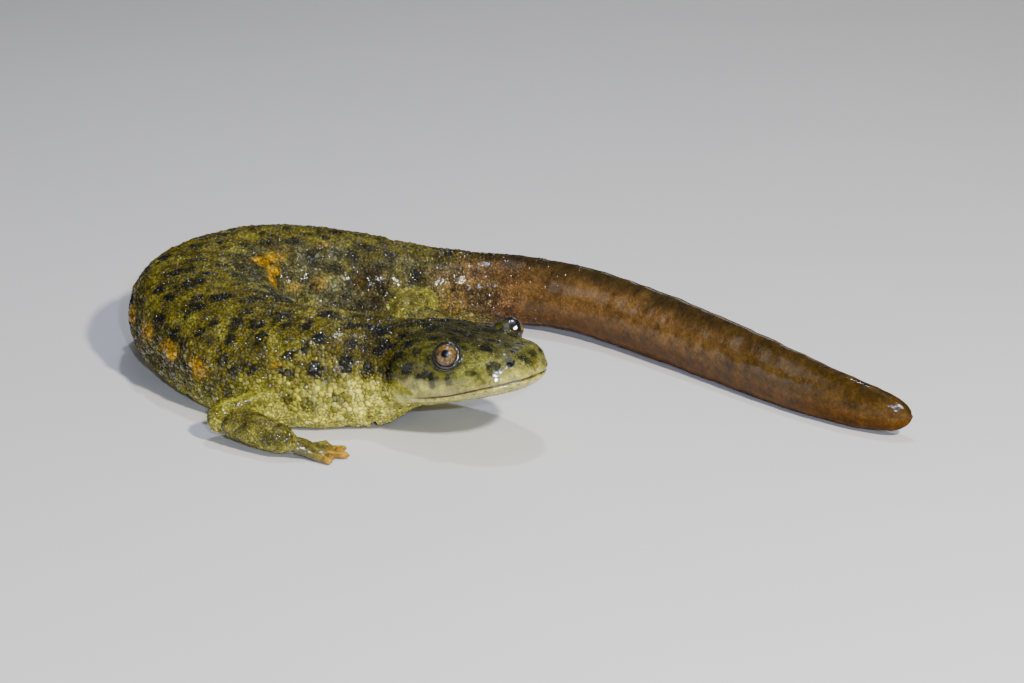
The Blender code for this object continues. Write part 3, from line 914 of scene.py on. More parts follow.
def skin_colours(places, normals, flesh, colours, seed):
    """The colour of each point, how deep it is in a blotch, how dark that is, and the share of bare lid."""
    points, station, turn, side = places.points, places.station, places.turn, places.side
    patchy, fine = cloud(points, 5.5, 21), cloud(points, 1.5, 22)
    legs = on_nodes(places.names)
    head = soft_step(27, 21, station)
    jaw = head * soft_step(0.05, -0.25, places.gape)
    tail = soft_step(126, 150, station + patchy * 4) * (1 - legs)
    # Painted shadow in the gap before the left hind leg, between the trunk and the thigh.
    hip_shadow = bump(124, 5, station + patchy) * soft_step(-40, -62, turn)
    tone = head_tone(trunk_tone(places, patchy, fine, colours), places, fine, head, jaw, colours)
    tone = tone * (1 - tail[:, None]) + tail_tone(places, patchy, colours) * tail[:, None]
    tone = painted(tone, colours, ("hip_shadow", 0.7 * hip_shadow * (1 - legs)))
    tone = leg_tone(tone, places, normals, colours)
    lid = np.max([lid_share(points, eye) for eye in EYES_AT], axis=0)
    nostril = nostril_reach(points, flesh)
    tone = painted(
        tone, colours,
        ("wart", warty(places, flesh.tree) * 0.92),
        ("lid", lid),
        # At each nostril: dark pigment round it, and painted shade in the hole itself.
        ("blotch", 0.45 * bump(0, 1.1, nostril) + 2.0 * bump(0, 0.45, nostril)))
    # The crack of the mouth: the lips' pinkish brown, partly painted shade in the slit.
    crack = head * soft_step(JAW_CORNER + 0.8, JAW_CORNER - 1, station) * (1 - legs)
    tone = mixed(tone, linear(MOUTH_CRACK_AND_SHADE), 0.9 * crack * bump(0.03, 0.19, places.gape))
    ink = 0.94 * soft_step(126, 104, side) * (1 - 0.65 * tail) * (1 - 0.25 * legs)
    ink *= (1 - 0.28 * soft_step(-0.2, 0.8, fine)) * (1 - 0.07 * head)
    ink *= 1 - 0.3 * soft_step(72, 88, side) * (1 - 0.5 * head)
    ink *= 1 - 0.3 * soft_step(-5, -40, turn) * soft_step(60, 84, station)
    ink *= (1 - lid) * (1 - jaw)
    return np.clip(tone, 0, 1), blotched(places, flesh.tree, seed), ink, lid


def lid_share(points, eye):
    """How much of a point's skin is the dark moist ring round the eye."""
    ahead, across, rise = eye.seen(points)
    band = 0.85 * soft_step(3.1, 2.6, across) * soft_step(0.5, -0.4, rise)
    return np.maximum(soft_step(2.5, 2.15, across), band) * (ahead > -1.2) * (ahead < 3.2)


def toe_share(points, names):
    """How near each point of a foot is to the tips of its toes."""
    share = np.zeros(len(points))
    for leg in LEGS:
        foot = names == leg + "_foot"
        low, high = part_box(leg + "_lower")
        wrist = np.array((low + high) / 2) / MM
        reach = np.linalg.norm((points - wrist)[:, :2], axis=1)
        if foot.any():
            near, far = np.percentile(reach[foot], (35, 96))
            share = np.where(foot, soft_step(near, far, reach), share)
    return share


def granule_fields(places, edges, lid, flesh):
    """How thickly the three kinds of granules stand, and how large they are."""
    station, side, points, gape = places.station, places.side, places.points, places.gape
    upper_leg, lower_leg, feet = (
        spread(on_nodes(places.names, LEGS, end), edges, 4) for end in ("_upper", "_lower", "_foot"))
    legs = np.clip(upper_leg + lower_leg + feet, 0, 1)
    uneven = cloud(points, 4, 31)
    face = soft_step(25, 19, station + uneven * 2) * (1 - legs)
    tail = soft_step(138, 154, station + uneven * 4) * (1 - legs)
    trunk = (1 - face) * (1 - tail) * (1 - legs)
    flank = soft_step(55, 82, side + uneven * 12) * soft_step(122, 104, side)
    pearls = bump(41, 4.5, station) * bump(96, 20, side)  # the large pale ones of the shoulder and throat
    coarse = np.clip(0.3 + 0.45 * flank + pearls, 0, 1) * trunk * soft_step(24, 30, station)
    base = tail * soft_step(166, 144, station)
    middle = trunk + 0.95 * upper_leg + 0.5 * lower_leg + 0.45 * base
    fine = 0.95 * face + 0.55 * lower_leg + 0.6 * feet + 0.2 * base
    head = soft_step(26, 22, station) * (1 - legs)
    bare = np.max([
        lid,
        head * soft_step(64, 84, side + uneven * 4) * soft_step(-2.2, -0.8, gape),
        head * soft_step(6, 0, station) * soft_step(30, 60, side),
        head * bump(0, 0.6, gape) * (station < JAW_CORNER + 1),
        1.3 * bump(0, 0.8, nostril_reach(points, flesh)),
    ], axis=0)
    for eye in EYES_AT:
        bare = np.maximum(bare, (eye.reach_and_angle(points)[0] < 2.72) & (eye.seen(points)[0] > 0.1))
    keep = (bare < 0.6) * np.where(points[:, 2] < 0.5, 0.35, 1)
    size = 1 + 0.2 * pearls - 0.25 * tail - 0.12 * legs - 0.2 * feet - 0.12 * face
    size *= np.clip(1.1 - 1.2 * bare, 0.3, 1)
    fields = {"coarse": coarse, "middle": middle, "fine": fine}
    return {name: np.clip(field * keep, 0, 1) for name, field in fields.items()} | {"granule": size}


def finish_fields(places, granules, tone, lid):
    """What the materials read besides colour: cobbles with the painted shade in their cracks, wet film,
    mottling and dark specks.
    """
    station, side, gape = places.station, places.side, places.gape
    tail = soft_step(140, 160, station)
    cover = np.clip(granules["coarse"] + granules["middle"] + 0.7 * granules["fine"], 0, 1)
    film = 0.85 - 0.73 * cover * (1 - 0.7 * lid)
    film *= 1 - tail * (0.35 + 0.4 * soft_step(60, 95, side))
    mottle = (1 - 0.4 * np.clip(tone.mean(axis=1) / 0.35, 0, 1)) * (1 - 0.45 * tail)
    mottle = np.maximum(mottle, 0.9 * on_nodes(places.names))
    mottle = np.maximum(mottle, 0.85 * soft_step(26, 20, station) * soft_step(0.6, 2.0, gape))
    face = soft_step(26, 20, station) * soft_step(70, 84, side)
    pepper = face * (0.3 + 0.7 * soft_step(0.3, -0.4, gape)) + 0.35 * tail
    return {
        "net": cover * (1 - 0.7 * lid),
        "film": film * (1 - 0.7 * soft_step(216, 228, station)),
        "mottle": mottle * (1 - 0.6 * lid),
        "pepper": np.clip(pepper, 0, 1) * (1 - lid),
    }


# ---- unwrapping the skin --------------------------------------------------------------------------------
# Two strips for the body, laid along its length, then the legs from above and below. Sizes in millimetres.
SHEET = 204.0
STRIPS = ((-6, 125, 2, 88), (125, 249, 94, 54))  # stations, and each strip's foot and height on the sheet
LEG_TILE, LEG_ROWS = (40, 24), (152, 178)


def unwrap(mesh, places, normals):
    """The map OFBake on an unwrap of the skin's own shape."""
    corner_count = len(mesh.loops)
    corner = np.zeros(corner_count, np.int32)
    mesh.loops.foreach_get("vertex_index", corner)
    starts, sizes = (np.zeros(len(mesh.polygons), np.int32) for _ in range(2))
    mesh.polygons.foreach_get("loop_start", starts)
    mesh.polygons.foreach_get("loop_total", sizes)
    face_of = np.repeat(np.arange(len(starts)), sizes)
    order = np.repeat(starts, sizes) + np.arange(corner_count) - np.repeat(np.cumsum(sizes) - sizes, sizes)
    corner = corner[order]

    def face_mean(values):
        """The mean over each face's corners."""
        return np.bincount(face_of, values[corner]) / sizes

    station = places.station[corner]
    turn = places.turn[corner]
    middle = face_mean(np.cos(np.radians(places.turn)))
    lean = face_mean(np.sin(np.radians(places.turn)))
    face_turn = np.degrees(np.arctan2(lean, middle))[face_of]
    turn = face_turn + (turn - face_turn + 180) % 360 - 180
    face_station = face_mean(places.station)[face_of]
    u, v = np.zeros(corner_count), np.zeros(corner_count)
    for start, end, foot, height in STRIPS:
        here = (face_station >= start) & (face_station < end)
        u[here] = station[here] - start + 3
        v[here] = foot + (turn[here] / 360 + 0.5) * height
    face_up = face_mean(normals[:, 2])[face_of]
    for i, leg in enumerate(LEGS):
        on_leg = face_mean(on_nodes(places.names, leg))[face_of] > 0.5
        low = np.array([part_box(leg + end)[0] for end in ("_upper", "_lower", "_foot")]).min(axis=0) / MM
        for foot, here in zip(LEG_ROWS, (on_leg & (face_up >= 0), on_leg & (face_up < 0))):
            plan = places.points[corner][here, :2] - low[:2]
            if leg.startswith("foreleg"):
                plan = plan[:, ::-1]
            u[here] = 3 + i * (LEG_TILE[0] + 8) + plan[:, 0]
            v[here] = foot + plan[:, 1]
    layer = mesh.uv_layers.new(name="OFBake")
    values = np.zeros((corner_count, 2), np.float32)
    values[order] = np.stack([u, v], axis=1) / SHEET
    layer.data.foreach_set("uv", values.ravel())


def store(mesh, name, values):
    """Keeps a number or a colour for each point of the mesh."""
    if values.ndim == 1:
        mesh.attributes.new(name, "FLOAT", "POINT").data.foreach_set("value", values.astype(np.float32))
        return
    whole = np.concatenate([values, np.ones((len(values), 1))], axis=1).astype(np.float32)
    mesh.attributes.new(name, "FLOAT_COLOR", "POINT").data.foreach_set("color", whole.ravel())


# ---- node trees -----------------------------------------------------------------------------------------
def set_inputs(node, inputs):
    """Sets or links a node's inputs, by name or number."""
    for name, value in inputs.items():
        if isinstance(value, bpy.types.NodeSocket):
            node.id_data.links.new(value, node.inputs[name])
        else:
            node.inputs[name].default_value = value


def add_node(tree, kind, inputs=None, out=0, **settings):
    """Adds a node with its properties and inputs, and gives one of its outputs, by name or number."""
    node = tree.nodes.new(kind)
    for name, value in settings.items():
        setattr(node, name, value)
    set_inputs(node, inputs or {})
    return node.outputs[out] if node.outputs else None


def per_metre(size_mm):
    """A texture's scale for features of a size in millimetres."""
    return 1 / (size_mm * MM)


GRANULE_SIDES, GRANULE_ROWS = 7, 4
PATCH = 0.003  # how much of the map a granule takes
GRANULE_INPUTS = (
    ("Spacing", "Float"), ("Radius", "Float"), ("Height", "Float"), ("Thickness", "Float"), ("Seed", "Int"),
    ("Shares", "Int"), ("Share", "Int"), ("Where", "String"), ("Material", "Material"),
)


def granule_shape(add):
    """The upper part of a flattened ball, with its patch of the map and its rise kept at each point."""
    ball = add("GeometryNodeMeshUVSphere", {"Segments": GRANULE_SIDES, "Rings": GRANULE_ROWS, "Radius": 1.0})
    x, y, z = add("ShaderNodeSeparateXYZ", {"Vector": add("GeometryNodeInputPosition")}).node.outputs
    under = add("FunctionNodeCompare", {0: z, 1: -0.1}, operation="LESS_THAN")
    shape = add("GeometryNodeDeleteGeometry", {"Geometry": ball, "Selection": under}, domain="POINT")
    flat = add("ShaderNodeCombineXYZ", {"X": x, "Y": y})
    small = add("ShaderNodeVectorMath", {0: flat, "Scale": PATCH / 2}, operation="SCALE")
    for name, value, kind in (("patch", small, "FLOAT_VECTOR"), ("rise", z, "FLOAT")):
        shape = add(
            "GeometryNodeStoreNamedAttribute", {"Geometry": shape, "Name": name, "Value": value},
            data_type=kind, domain="POINT")
    return add("GeometryNodeSetShadeSmooth", {"Geometry": shape})


def granule_tree():
    """Rounded granules over a surface: where an attribute lets them, each turned to stand on it."""
    tree = bpy.data.node_groups.new("granules", "GeometryNodeTree")
    add = partial(add_node, tree)
    for name, kind in (("Geometry", "Geometry"), *GRANULE_INPUTS):
        tree.interface.new_socket(name, in_out="INPUT", socket_type="NodeSocket" + kind)
    tree.interface.new_socket("Geometry", in_out="OUTPUT", socket_type="NodeSocketGeometry")
    given = add("NodeGroupInput").node.outputs
    where = add("GeometryNodeInputNamedAttribute", {"Name": given["Where"]}, data_type="FLOAT")
    spread_out = add(
        "GeometryNodeDistributePointsOnFaces",
        {"Mesh": given["Geometry"], "Distance Min": given["Spacing"], "Density Max": given["Thickness"],
         "Density Factor": where, "Seed": given["Seed"]},
        distribute_method="POISSON").node.outputs
    # Each granule's own turn, size, length and shade.
    turn, vary, longer, shade = (
        add("FunctionNodeRandomValue", {2: low, 3: high, "Seed": seed}, out=1, data_type="FLOAT")
        for seed, low, high in ((1, 0.0, 2 * math.pi), (2, 0.62, 1.2), (3, 0.85, 1.35), (4, 0.0, 1.0)))
    spin = add("FunctionNodeAxisAngleToRotation", {"Axis": (0, 0, 1), "Angle": turn})
    rotation = add(
        "FunctionNodeRotateRotation", {"Rotation": spread_out["Rotation"], "Rotate By": spin},
        rotation_space="LOCAL")
    size = add("GeometryNodeInputNamedAttribute", {"Name": "granule"}, data_type="FLOAT")
    sized = add("ShaderNodeMath", {0: vary, 1: size}, operation="MULTIPLY")
    wide = add("ShaderNodeMath", {0: sized, 1: given["Radius"]}, operation="MULTIPLY")
    long = add("ShaderNodeMath", {0: wide, 1: longer}, operation="MULTIPLY")
    high = add("ShaderNodeMath", {0: sized, 1: given["Height"]}, operation="MULTIPLY")
    scale = add("ShaderNodeCombineXYZ", {"X": long, "Y": wide, "Z": high})
    shaded = add(
        "GeometryNodeStoreNamedAttribute",
        {"Geometry": spread_out["Points"], "Name": "shade", "Value": shade},
        data_type="FLOAT", domain="POINT")
    # Each piece takes its share of the points, one in so many.
    turns = add(
        "FunctionNodeIntegerMath", {0: add("GeometryNodeInputIndex"), 1: given["Shares"]}, operation="MODULO")
    other = add("FunctionNodeCompare", {2: turns, 3: given["Share"]}, data_type="INT", operation="NOT_EQUAL")
    shared = add("GeometryNodeDeleteGeometry", {"Geometry": shaded, "Selection": other}, domain="POINT")
    placed = add(
        "GeometryNodeInstanceOnPoints",
        {"Points": shared, "Instance": granule_shape(add), "Rotation": rotation, "Scale": scale})
    real = add("GeometryNodeRealizeInstances", {"Geometry": placed})
    # No granule is quite round.
    lumps = add("ShaderNodeTexNoise", {"Scale": per_metre(0.5), "Detail": 1.0}, out="Color")
    apart = add("ShaderNodeVectorMath", {0: lumps, 1: (0.5, 0.5, 0.5)}, operation="SUBTRACT")
    shift = add("ShaderNodeVectorMath", {0: apart, "Scale": 0.34 * MM}, operation="SCALE")
    uneven = add("GeometryNodeSetPosition", {"Geometry": real, "Offset": shift})
    # The map: the root's place on the skin's unwrap, and round it the granule's own small patch.
    root, patch_at = (
        add("GeometryNodeInputNamedAttribute", {"Name": name}, data_type="FLOAT_VECTOR")
        for name in ("OFBake", "patch"))
    mapped = add("ShaderNodeVectorMath", {0: root, 1: patch_at}, operation="ADD")
    unwrapped = add(
        "GeometryNodeStoreNamedAttribute", {"Geometry": uneven, "Name": "OFBake", "Value": mapped},
        data_type="FLOAT2", domain="CORNER")
    add("NodeGroupOutput", {"Geometry": add(
        "GeometryNodeSetMaterial", {"Geometry": unwrapped, "Material": given["Material"]})})
    return tree


def new_material(name):
    """A material, its tree's way of adding nodes, and its shader."""
    material = bpy.data.materials.new(name)
    material.use_nodes = True
    tree = material.node_tree
    return material, partial(add_node, tree), tree.nodes["Principled BSDF"]


def uneven_level(add, where, size_mm, detail, rough, middle, levels):
    """Noise with lumps of a size, so that the middle stretch of its values runs over the levels."""
    noise_at = add(
        "ShaderNodeTexNoise",
        {"Vector": where, "Scale": per_metre(size_mm), "Detail": detail, "Roughness": rough})
    return add(
        "ShaderNodeMapRange", {"Value": noise_at, 1: middle[0], 2: middle[1], 3: levels[0], 4: levels[1]})


def marked(add, where, colour):
    """The colour mottled, with the dark blotches over it, their edges broken up as pigment cells lie."""
    dark, ink, mottle = (
        add("ShaderNodeAttribute", out="Fac", attribute_name=name) for name in ("dark", "ink", "mottle"))
    level = uneven_level(add, where, 2.3, 5.0, 0.62, (0.36, 0.64), (0.28, 1.5))
    clouded = add("ShaderNodeVectorMath", {0: colour, "Scale": level}, operation="SCALE")
    mottled = add("ShaderNodeMix", {0: mottle, 6: colour, 7: clouded}, out=2, data_type="RGBA")
    shift = uneven_level(add, where, 1.1, 5.0, 0.75, (0.3, 0.7), (-0.5, 0.5))
    edge = add("ShaderNodeMath", {0: dark, 1: shift}, operation="ADD")
    inside = add("ShaderNodeMapRange", {"Value": edge, 1: 0.24, 2: 0.66}, interpolation_type="SMOOTHSTEP")
    share = add("ShaderNodeMath", {0: inside, 1: ink}, operation="MULTIPLY")
    return add("ShaderNodeMix", {0: share, 6: mottled, 7: opaque(PIGMENT)}, out=2, data_type="RGBA")


def moist_skin():
    """Amphibian skin, wet with mucus: finely cobbled, with its dark net and painted shade in the cracks, and
    the clear film breaks light into small sparks.
    """
    material, add, shader = new_material("Amphibian skin, wet")
    where = add("ShaderNodeTexCoord", out="Object")
    tone = add("ShaderNodeAttribute", attribute_name="tone")
    net, pepper, film = (
        add("ShaderNodeAttribute", out="Fac", attribute_name=name) for name in ("net", "pepper", "film"))
    level = uneven_level(add, where, 0.8, 4.0, 0.6, (0.3, 0.7), (0.66, 1.3))
    varied = add("ShaderNodeVectorMath", {0: tone, "Scale": level}, operation="SCALE")
    # Cobbles: darker at each cell's edge, partly the skin's dark net and partly painted shade in the cracks,
    # the more where granules cover the skin.
    cells = add("ShaderNodeTexVoronoi", {"Vector": where, "Scale": per_metre(0.42), "Randomness": 0.9})
    crease = add("ShaderNodeMapRange", {"Value": cells, 1: 0.22, 2: 0.62, 3: 1.1, 4: 0.42})
    rough = add("ShaderNodeMapRange", {"Value": net, 3: 0.3, 4: 1.0})
    cobbled = add("ShaderNodeVectorMath", {0: varied, "Scale": crease}, operation="SCALE")
    crease_shaded = add("ShaderNodeMix", {0: rough, 6: varied, 7: cobbled}, out=2, data_type="RGBA")
    speck = uneven_level(add, where, 0.3, 2.0, 0.5, (0.55, 0.64), (0.0, 0.8))
    speckled = add("ShaderNodeMath", {0: speck, 1: pepper}, operation="MULTIPLY")
    flecked = add("ShaderNodeMix", {0: speckled, 6: crease_shaded, 7: opaque(DARK_SPECK)}, out=2, data_type="RGBA")
    # Relief: domed cobbles with pores, full for the skin and gentler for the film that lies over it.
    pores = add(
        "ShaderNodeTexNoise", {"Vector": where, "Scale": per_metre(0.3), "Detail": 3.0, "Roughness": 0.6})
    domes = add("ShaderNodeMath", {0: cells, 1: -0.8, 2: 1.0}, operation="MULTIPLY_ADD")
    height = add("ShaderNodeMath", {0: pores, 1: 0.5, 2: domes}, operation="MULTIPLY_ADD")
    strength = add("ShaderNodeMapRange", {"Value": net, 3: 0.5, 4: 1.0})
    relief, ripple = (
        add("ShaderNodeBump", {"Height": height, "Strength": amount, "Distance": 0.13 * MM})
        for amount in (strength, 0.2))
    set_inputs(shader, {
        "Base Color": marked(add, where, flecked), "Roughness": 0.55, "Normal": relief, "IOR": 1.35,
        "Specular IOR Level": 0.05, "Coat Weight": film, "Coat Roughness": 0.1, "Coat IOR": 1.9,
        "Coat Normal": ripple})
    return material


def moist_granules():
    """Horny-tipped skin glands, wet: each granule is paler at its tip, and darker at its root with painted
    shade where it meets the skin.
    """
    material, add, shader = new_material("Skin glands, wet")
    where = add("ShaderNodeTexCoord", out="Object")
    tone = add("ShaderNodeAttribute", attribute_name="tone")
    rise, shade = (
        add("ShaderNodeAttribute", out="Fac", attribute_name=name) for name in ("rise", "shade"))
    bright = add("ShaderNodeValToRGB", {"Fac": shade})
    ramp = bright.node.color_ramp
    ramp.elements[0].color = (0.42, 0.42, 0.42, 1)
    ramp.elements[1].color = (1.7, 1.7, 1.45, 1)
    for place, level in ((0.3, (0.8, 0.8, 0.8, 1)), (0.85, (1.15, 1.15, 1.1, 1))):
        ramp.elements.new(place).color = level
    varied = add(
        "ShaderNodeMix", {0: 1.0, 6: tone, 7: bright}, out=2, data_type="RGBA", blend_type="MULTIPLY")
    # The root is darkened: painted shade where each granule meets the skin.
    root = add(
        "ShaderNodeMix", {0: 1.0, 6: varied, 7: opaque(GRANULE_ROOT_SHADE)}, out=2, data_type="RGBA",
        blend_type="MULTIPLY")
    tip = add("ShaderNodeMapRange", {"Value": rise, 1: 0.0, 2: 0.7, 3: 0.0, 4: 1.0})
    domed = add("ShaderNodeMix", {0: tip, 6: root, 7: varied}, out=2, data_type="RGBA")
    pores = add(
        "ShaderNodeTexNoise", {"Vector": where, "Scale": per_metre(0.2), "Detail": 2.0, "Roughness": 0.6})
    relief = add("ShaderNodeBump", {"Height": pores, "Strength": 0.7, "Distance": 0.06 * MM})
    # Some granules are wet and the rest nearly dry, by a second number drawn from each one's shade.
    drawn = add("ShaderNodeMath", {0: shade, 1: 13.0}, operation="MULTIPLY")
    part = add("ShaderNodeMath", {0: drawn}, operation="FRACT")
    wet = add("ShaderNodeMapRange", {"Value": part, 1: 0.45, 2: 0.65, 3: 0.1, 4: 1.0})
    set_inputs(shader, {
        "Base Color": marked(add, where, domed), "Roughness": 0.5, "Normal": relief, "IOR": 1.36,
        "Specular IOR Level": 0.06, "Coat Weight": wet, "Coat Roughness": 0.08, "Coat IOR": 1.9,
        "Coat Normal": relief})
    return material


PUPIL, IRIS = 0.69, 1.88  # reach from the middle of the look, in millimetres
PUPIL_BLACK, IRIS_RIM = "020204", "0b0c16"
COPPER = ((0.36, "1a1206"), (0.44, "443313"), (0.54, "745826"), (0.68, "a08640"))  # dark flecks to gold


def wet_eye(eye):
    """A newt's eye under a wet cornea: a round black pupil in a copper-gold iris, flecked dark."""
    material, add, shader = new_material("Cornea over copper iris, wet, " + eye.node)
    where = add("ShaderNodeTexCoord", out="Object")
    look = tuple(eye.look)
    apart = add("ShaderNodeVectorMath", {0: where, 1: tuple(eye.centre * MM)}, operation="SUBTRACT")
    ahead = add("ShaderNodeVectorMath", {0: apart, 1: look}, out="Value", operation="DOT_PRODUCT")
    along = add("ShaderNodeVectorMath", {0: look, "Scale": ahead}, operation="SCALE")
    across = add("ShaderNodeVectorMath", {0: apart, 1: along}, operation="SUBTRACT")
    reach = add("ShaderNodeVectorMath", {0: across}, out="Value", operation="LENGTH")
    flecks = add(
        "ShaderNodeTexNoise",
        {"Vector": where, "Scale": per_metre(0.42), "Detail": 5.0, "Roughness": 0.72, "Distortion": 0.25})
    wander = add("ShaderNodeMapRange", {"Value": flecks, 3: -0.1 * MM, 4: 0.1 * MM})
    edge = add("ShaderNodeMath", {0: reach, 1: wander}, operation="ADD")
    copper = add("ShaderNodeValToRGB", {"Fac": flecks})
    stops = copper.node.color_ramp.elements
    for place, text in COPPER:
        stops.new(place).color = opaque(text)
    stops.remove(stops[0])
    stops.remove(stops[-1])
    inner = add("ShaderNodeMapRange", {"Value": reach, 1: (PUPIL - 0.04) * MM, 2: (PUPIL + 0.04) * MM})
    outer = add("ShaderNodeMapRange", {"Value": edge, 1: (IRIS - 0.42) * MM, 2: (IRIS + 0.02) * MM})
    iris = add("ShaderNodeMix", {0: inner, 6: opaque(PUPIL_BLACK), 7: copper}, out=2, data_type="RGBA")
    rimmed = add("ShaderNodeMix", {0: outer, 6: iris, 7: opaque(IRIS_RIM)}, out=2, data_type="RGBA")
    set_inputs(shader, {
        "Base Color": rimmed, "Roughness": 0.3, "IOR": 1.38, "Coat Weight": 1.0, "Coat Roughness": 0.02,
        "Coat IOR": 1.38})
    return material


def matt_floor(colour):
    """Matt painted board: pale, with no gloss, so that only soft shadows show on it."""
    material, add, shader = new_material("Painted board, matt")
    where = add("ShaderNodeTexCoord", out="Object")
    level = uneven_level(add, where, 60, 2.0, 0.5, (0.0, 1.0), (0.97, 1.03))
    uneven = add("ShaderNodeVectorMath", {0: tuple(colour), "Scale": level}, operation="SCALE")
    set_inputs(shader, {"Base Color": uneven, "Roughness": 0.85})
    return material


# ---- pieces ---------------------------------------------------------------------------------------------
def piece(name, mesh, material):
    """A finished piece of the newt from a mesh in metres."""
    obj = bpy.data.objects.new(name, mesh)
    bpy.context.scene.collection.objects.link(obj)
    mesh.materials.clear()
    mesh.materials.append(material)
    mesh.shade_smooth()
    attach(obj, "root")
    return obj


def to_metres(mesh):
    """Turns a mesh of millimetres to metres."""
    points, _, _ = mesh_arrays(mesh)
    set_points(mesh, points * MM)


class NEWT_OT_skin(bpy.types.Operator):
    """Grow one moist skin over the flesh, with its folds, lids, mouth, warts and markings"""

    bl_idname = "newt.skin"
    bl_label = "Skin"

    def execute(self, context):
        settings, colours = context.scene.newt_skin, context.scene.newt_colours
        mesh, flesh = make_skin_mesh(settings)
        points, edges, normals = mesh_arrays(mesh)
        places = Places(points, flesh.below(points)[1])
        points = shaped_lids(points + normals * folds(places, edges, flesh)[:, None])
        points[:, 2] = np.maximum(points[:, 2], FLOOR_SPACE)
        set_points(mesh, points)
        points, edges, normals = mesh_arrays(mesh)
        places = Places(points, places.names)
        tone, dark, ink, lid = skin_colours(places, normals, flesh, colours, settings.seed)
        granules = granule_fields(places, edges, lid, flesh)
        fields = granules | finish_fields(places, granules, tone, lid)
        for name, values in (fields | {"dark": dark, "ink": ink, "tone": tone}).items():
            store(mesh, name, values)
        unwrap(mesh, places, normals)
        to_metres(mesh)
        skin = piece("skin", mesh, moist_skin())
        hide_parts(*FLESH)
        return {"FINISHED"}


# Each kind of granule: its field, radius and height against the spacing, how many pieces, and slot.
GRANULES = (
    ("coarse", 0.58, 0.3, 1, "throat_skin"),
    ("middle", 0.62, 0.25, 4, "olive_skin"),
    ("fine", 0.6, 0.17, 2, "tail_skin"),
)
THICKNESS = 3.2  # how many roots are tried in a square of the spacing
# What the granules' material doesn't read.
HELPERS = ("coarse", "middle", "fine", "granule", "net", "film", "pepper", "patch")


class NEWT_OT_granules(bpy.types.Operator):
    """Cover the skin with its granules, pearls and cobbles"""

    bl_idname = "newt.granules"
    bl_label = "Granules"

    def execute(self, context):
        settings = context.scene.newt_coat
        skin = bpy.data.objects["skin"]
        tree = granule_tree()
        inputs = {item.name: item.identifier for item in tree.interface.items_tree if item.in_out == "INPUT"}
        material = moist_granules()
        for number, (kind, radius, height, shares, slot) in enumerate(GRANULES):
            space = getattr(settings, kind)
            for share in range(shares):
                base = bpy.data.objects.new("base", skin.data.copy())
                context.scene.collection.objects.link(base)
                nodes = base.modifiers.new("Granules", "NODES")
                nodes.node_group = tree
                values = {"Spacing": space, "Radius": space * radius, "Height": space * height,
                          "Thickness": THICKNESS / space**2, "Seed": settings.seed + number, "Shares": shares,
                          "Share": share, "Where": kind, "Material": material}
                for word, value in values.items():
                    nodes[inputs[word]] = value
                mesh = evaluated_mesh(base)
                bpy.data.objects.remove(base)
                points, _, _ = mesh_arrays(mesh)
                points[:, 2] = np.maximum(points[:, 2], FLOOR_SPACE / 2 * MM)
                set_points(mesh, points)
                for name in HELPERS:
                    mesh.attributes.remove(mesh.attributes[name])
                piece(f"granules_{kind}_{share + 1}", mesh, material)
        return {"FINISHED"}


class NEWT_OT_eyes(bpy.types.Operator):
    """Set a wet eye in each socket"""

    bl_idname = "newt.eyes"
    bl_label = "Eyes"

    def execute(self, context):
        for eye in EYES_AT:
            ball = bmesh.new()
            bmesh.ops.create_uvsphere(ball, u_segments=48, v_segments=32, radius=BALL)
            for vert in ball.verts:
                way = np.array(vert.co.normalized())
                angle = math.degrees(math.acos(max(-1, min(1, way @ eye.look))))
                vert.co = Vector(eye.centre + way * (BALL + CORNEA * bump(0, 42, angle))) * MM
            bmesh.ops.recalc_face_normals(ball, faces=ball.faces)
            mesh = bpy.data.meshes.new("ball")
            ball.to_mesh(mesh)
            ball.free()
            made = piece(eye.node + "_wet", mesh, wet_eye(eye))
            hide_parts(eye.node)
        return {"FINISHED"}


# ---- stage ----------------------------------------------------------------------------------------------
CAMERA_AT = (1.03, -489.05, 172.23)
CAMERA_DOWN = 19.0  # degrees under level
FRAME_WIDTH = 36.0
FLOOR_SIZE = 4.0  # metres
WORLD, WORLD_LIGHT = "dfe2e6", 0.1
LAMPS = (  # name, place, what it is turned to, width, watts, colour
    ("key", (210, -380, 340), (0, 0, 0), 34, 3.7, "fffaf2"),
    ("front", (40, -500, 210), (0, 0, 0), 11, 1.6, "d0dcff"),
    ("top", (20, 60, 480), (0, 0, 0), 34, 0.8, "dfe8ff"),
    ("overhead", (0, -60, 520), (0, 0, 0), 260, 0.3, "e8eeff"),
    ("side", (-460, -160, 200), (0, 0, 0), 240, 0.15, "ffffff"),
    ("back", (120, 460, 300), (0, 0, 0), 200, 0.2, "ffffff"),
)


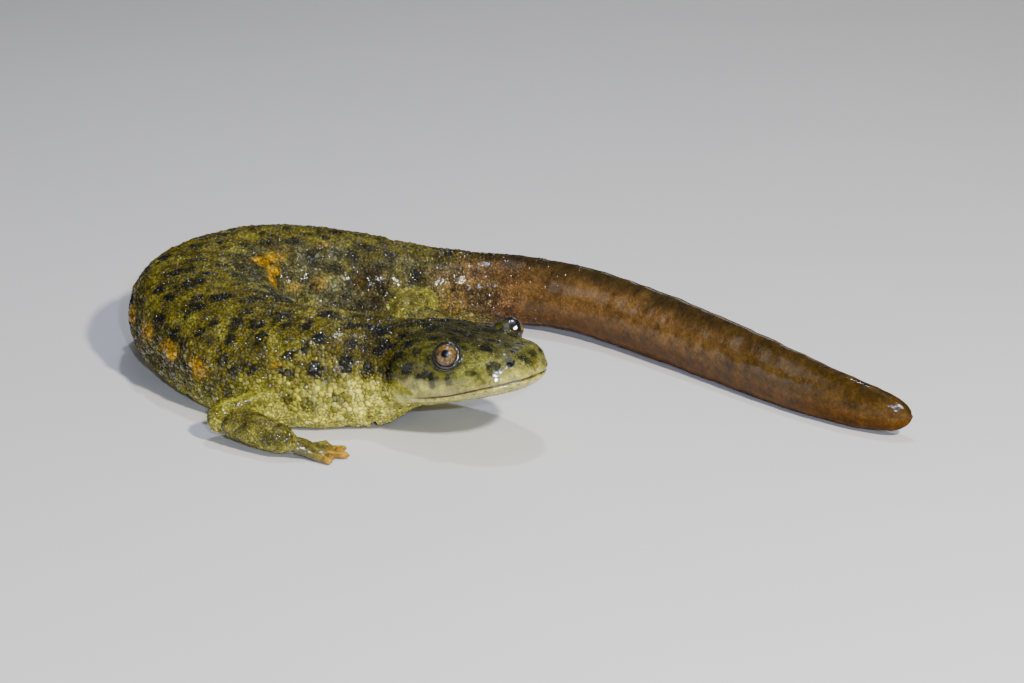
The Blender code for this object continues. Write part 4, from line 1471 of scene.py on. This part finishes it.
class NEWT_OT_stage(bpy.types.Operator):
    """Lay the plain floor, light it softly and set up the camera"""

    bl_idname = "newt.stage"
    bl_label = "Stage"

    def execute(self, context):
        settings = context.scene.newt_stage
        flat = bmesh.new()
        bmesh.ops.create_grid(flat, x_segments=1, y_segments=1, size=FLOOR_SIZE)
        mesh = bpy.data.meshes.new("floor")
        flat.to_mesh(mesh)
        flat.free()
        mesh.materials.append(matt_floor(settings.floor))
        floor = bpy.data.objects.new("floor", mesh)
        context.scene.collection.objects.link(floor)
        for name, place, target, width, watts, colour in LAMPS:
            lamp = bpy.data.lights.new(name, "AREA")
            lamp.size = width * MM
            lamp.energy = watts * settings.light
            lamp.color = linear(colour)
            obj = bpy.data.objects.new(name, lamp)
            obj.location = Vector(place) * MM
            obj.rotation_euler = (Vector(target) - Vector(place)).to_track_quat("-Z", "Y").to_euler()
            context.scene.collection.objects.link(obj)
        world = bpy.data.worlds.new("studio")
        world.use_nodes = True
        background = world.node_tree.nodes["Background"]
        set_inputs(background, {"Color": opaque(WORLD), "Strength": WORLD_LIGHT})
        context.scene.world = world
        lens = bpy.data.cameras.new("camera")
        lens.lens = settings.lens
        lens.sensor_width = FRAME_WIDTH
        lens.clip_start = 0.01
        camera = bpy.data.objects.new("camera", lens)
        camera.location = Vector(CAMERA_AT) * MM
        camera.rotation_euler = (math.radians(90 - CAMERA_DOWN), 0, 0)
        context.scene.collection.objects.link(camera)
        context.scene.camera = camera
        return {"FINISHED"}


class NEWT_PT_sidebar(bpy.types.Panel):
    """The settings and the steps"""

    bl_label = "Newt"
    bl_space_type = "VIEW_3D"
    bl_region_type = "UI"
    bl_category = "Newt"

    def draw(self, context):
        for group in (context.scene.newt_skin, context.scene.newt_coat, context.scene.newt_colours,
                      context.scene.newt_stage):
            column = self.layout.column(align=True)
            for name in group.__annotations__:
                column.prop(group, name)
        for operator in (NEWT_OT_skin, NEWT_OT_granules, NEWT_OT_eyes, NEWT_OT_stage):
            self.layout.operator(operator.bl_idname)


CLASSES = (
    NewtSkinSettings, NewtColours, NewtCoatSettings, NewtStageSettings,
    NEWT_OT_skin, NEWT_OT_granules, NEWT_OT_eyes, NEWT_OT_stage, NEWT_PT_sidebar,
)
GROUPS = (
    ("newt_skin", NewtSkinSettings), ("newt_colours", NewtColours), ("newt_coat", NewtCoatSettings),
    ("newt_stage", NewtStageSettings),
)


def register():
    """Adds the settings, operators and panel."""
    for kind in CLASSES:
        bpy.utils.register_class(kind)
    for name, group in GROUPS:
        setattr(bpy.types.Scene, name, bpy.props.PointerProperty(type=group))


def unregister():
    """Takes them away again."""
    for name, _ in GROUPS:
        delattr(bpy.types.Scene, name)
    for kind in reversed(CLASSES):
        bpy.utils.unregister_class(kind)


def main():
    """Builds every piece and the stage."""
    register()
    bpy.ops.newt.skin()
    bpy.ops.newt.granules()
    bpy.ops.newt.eyes()
    bpy.ops.newt.stage()


if __name__ == "__main__":
    main()
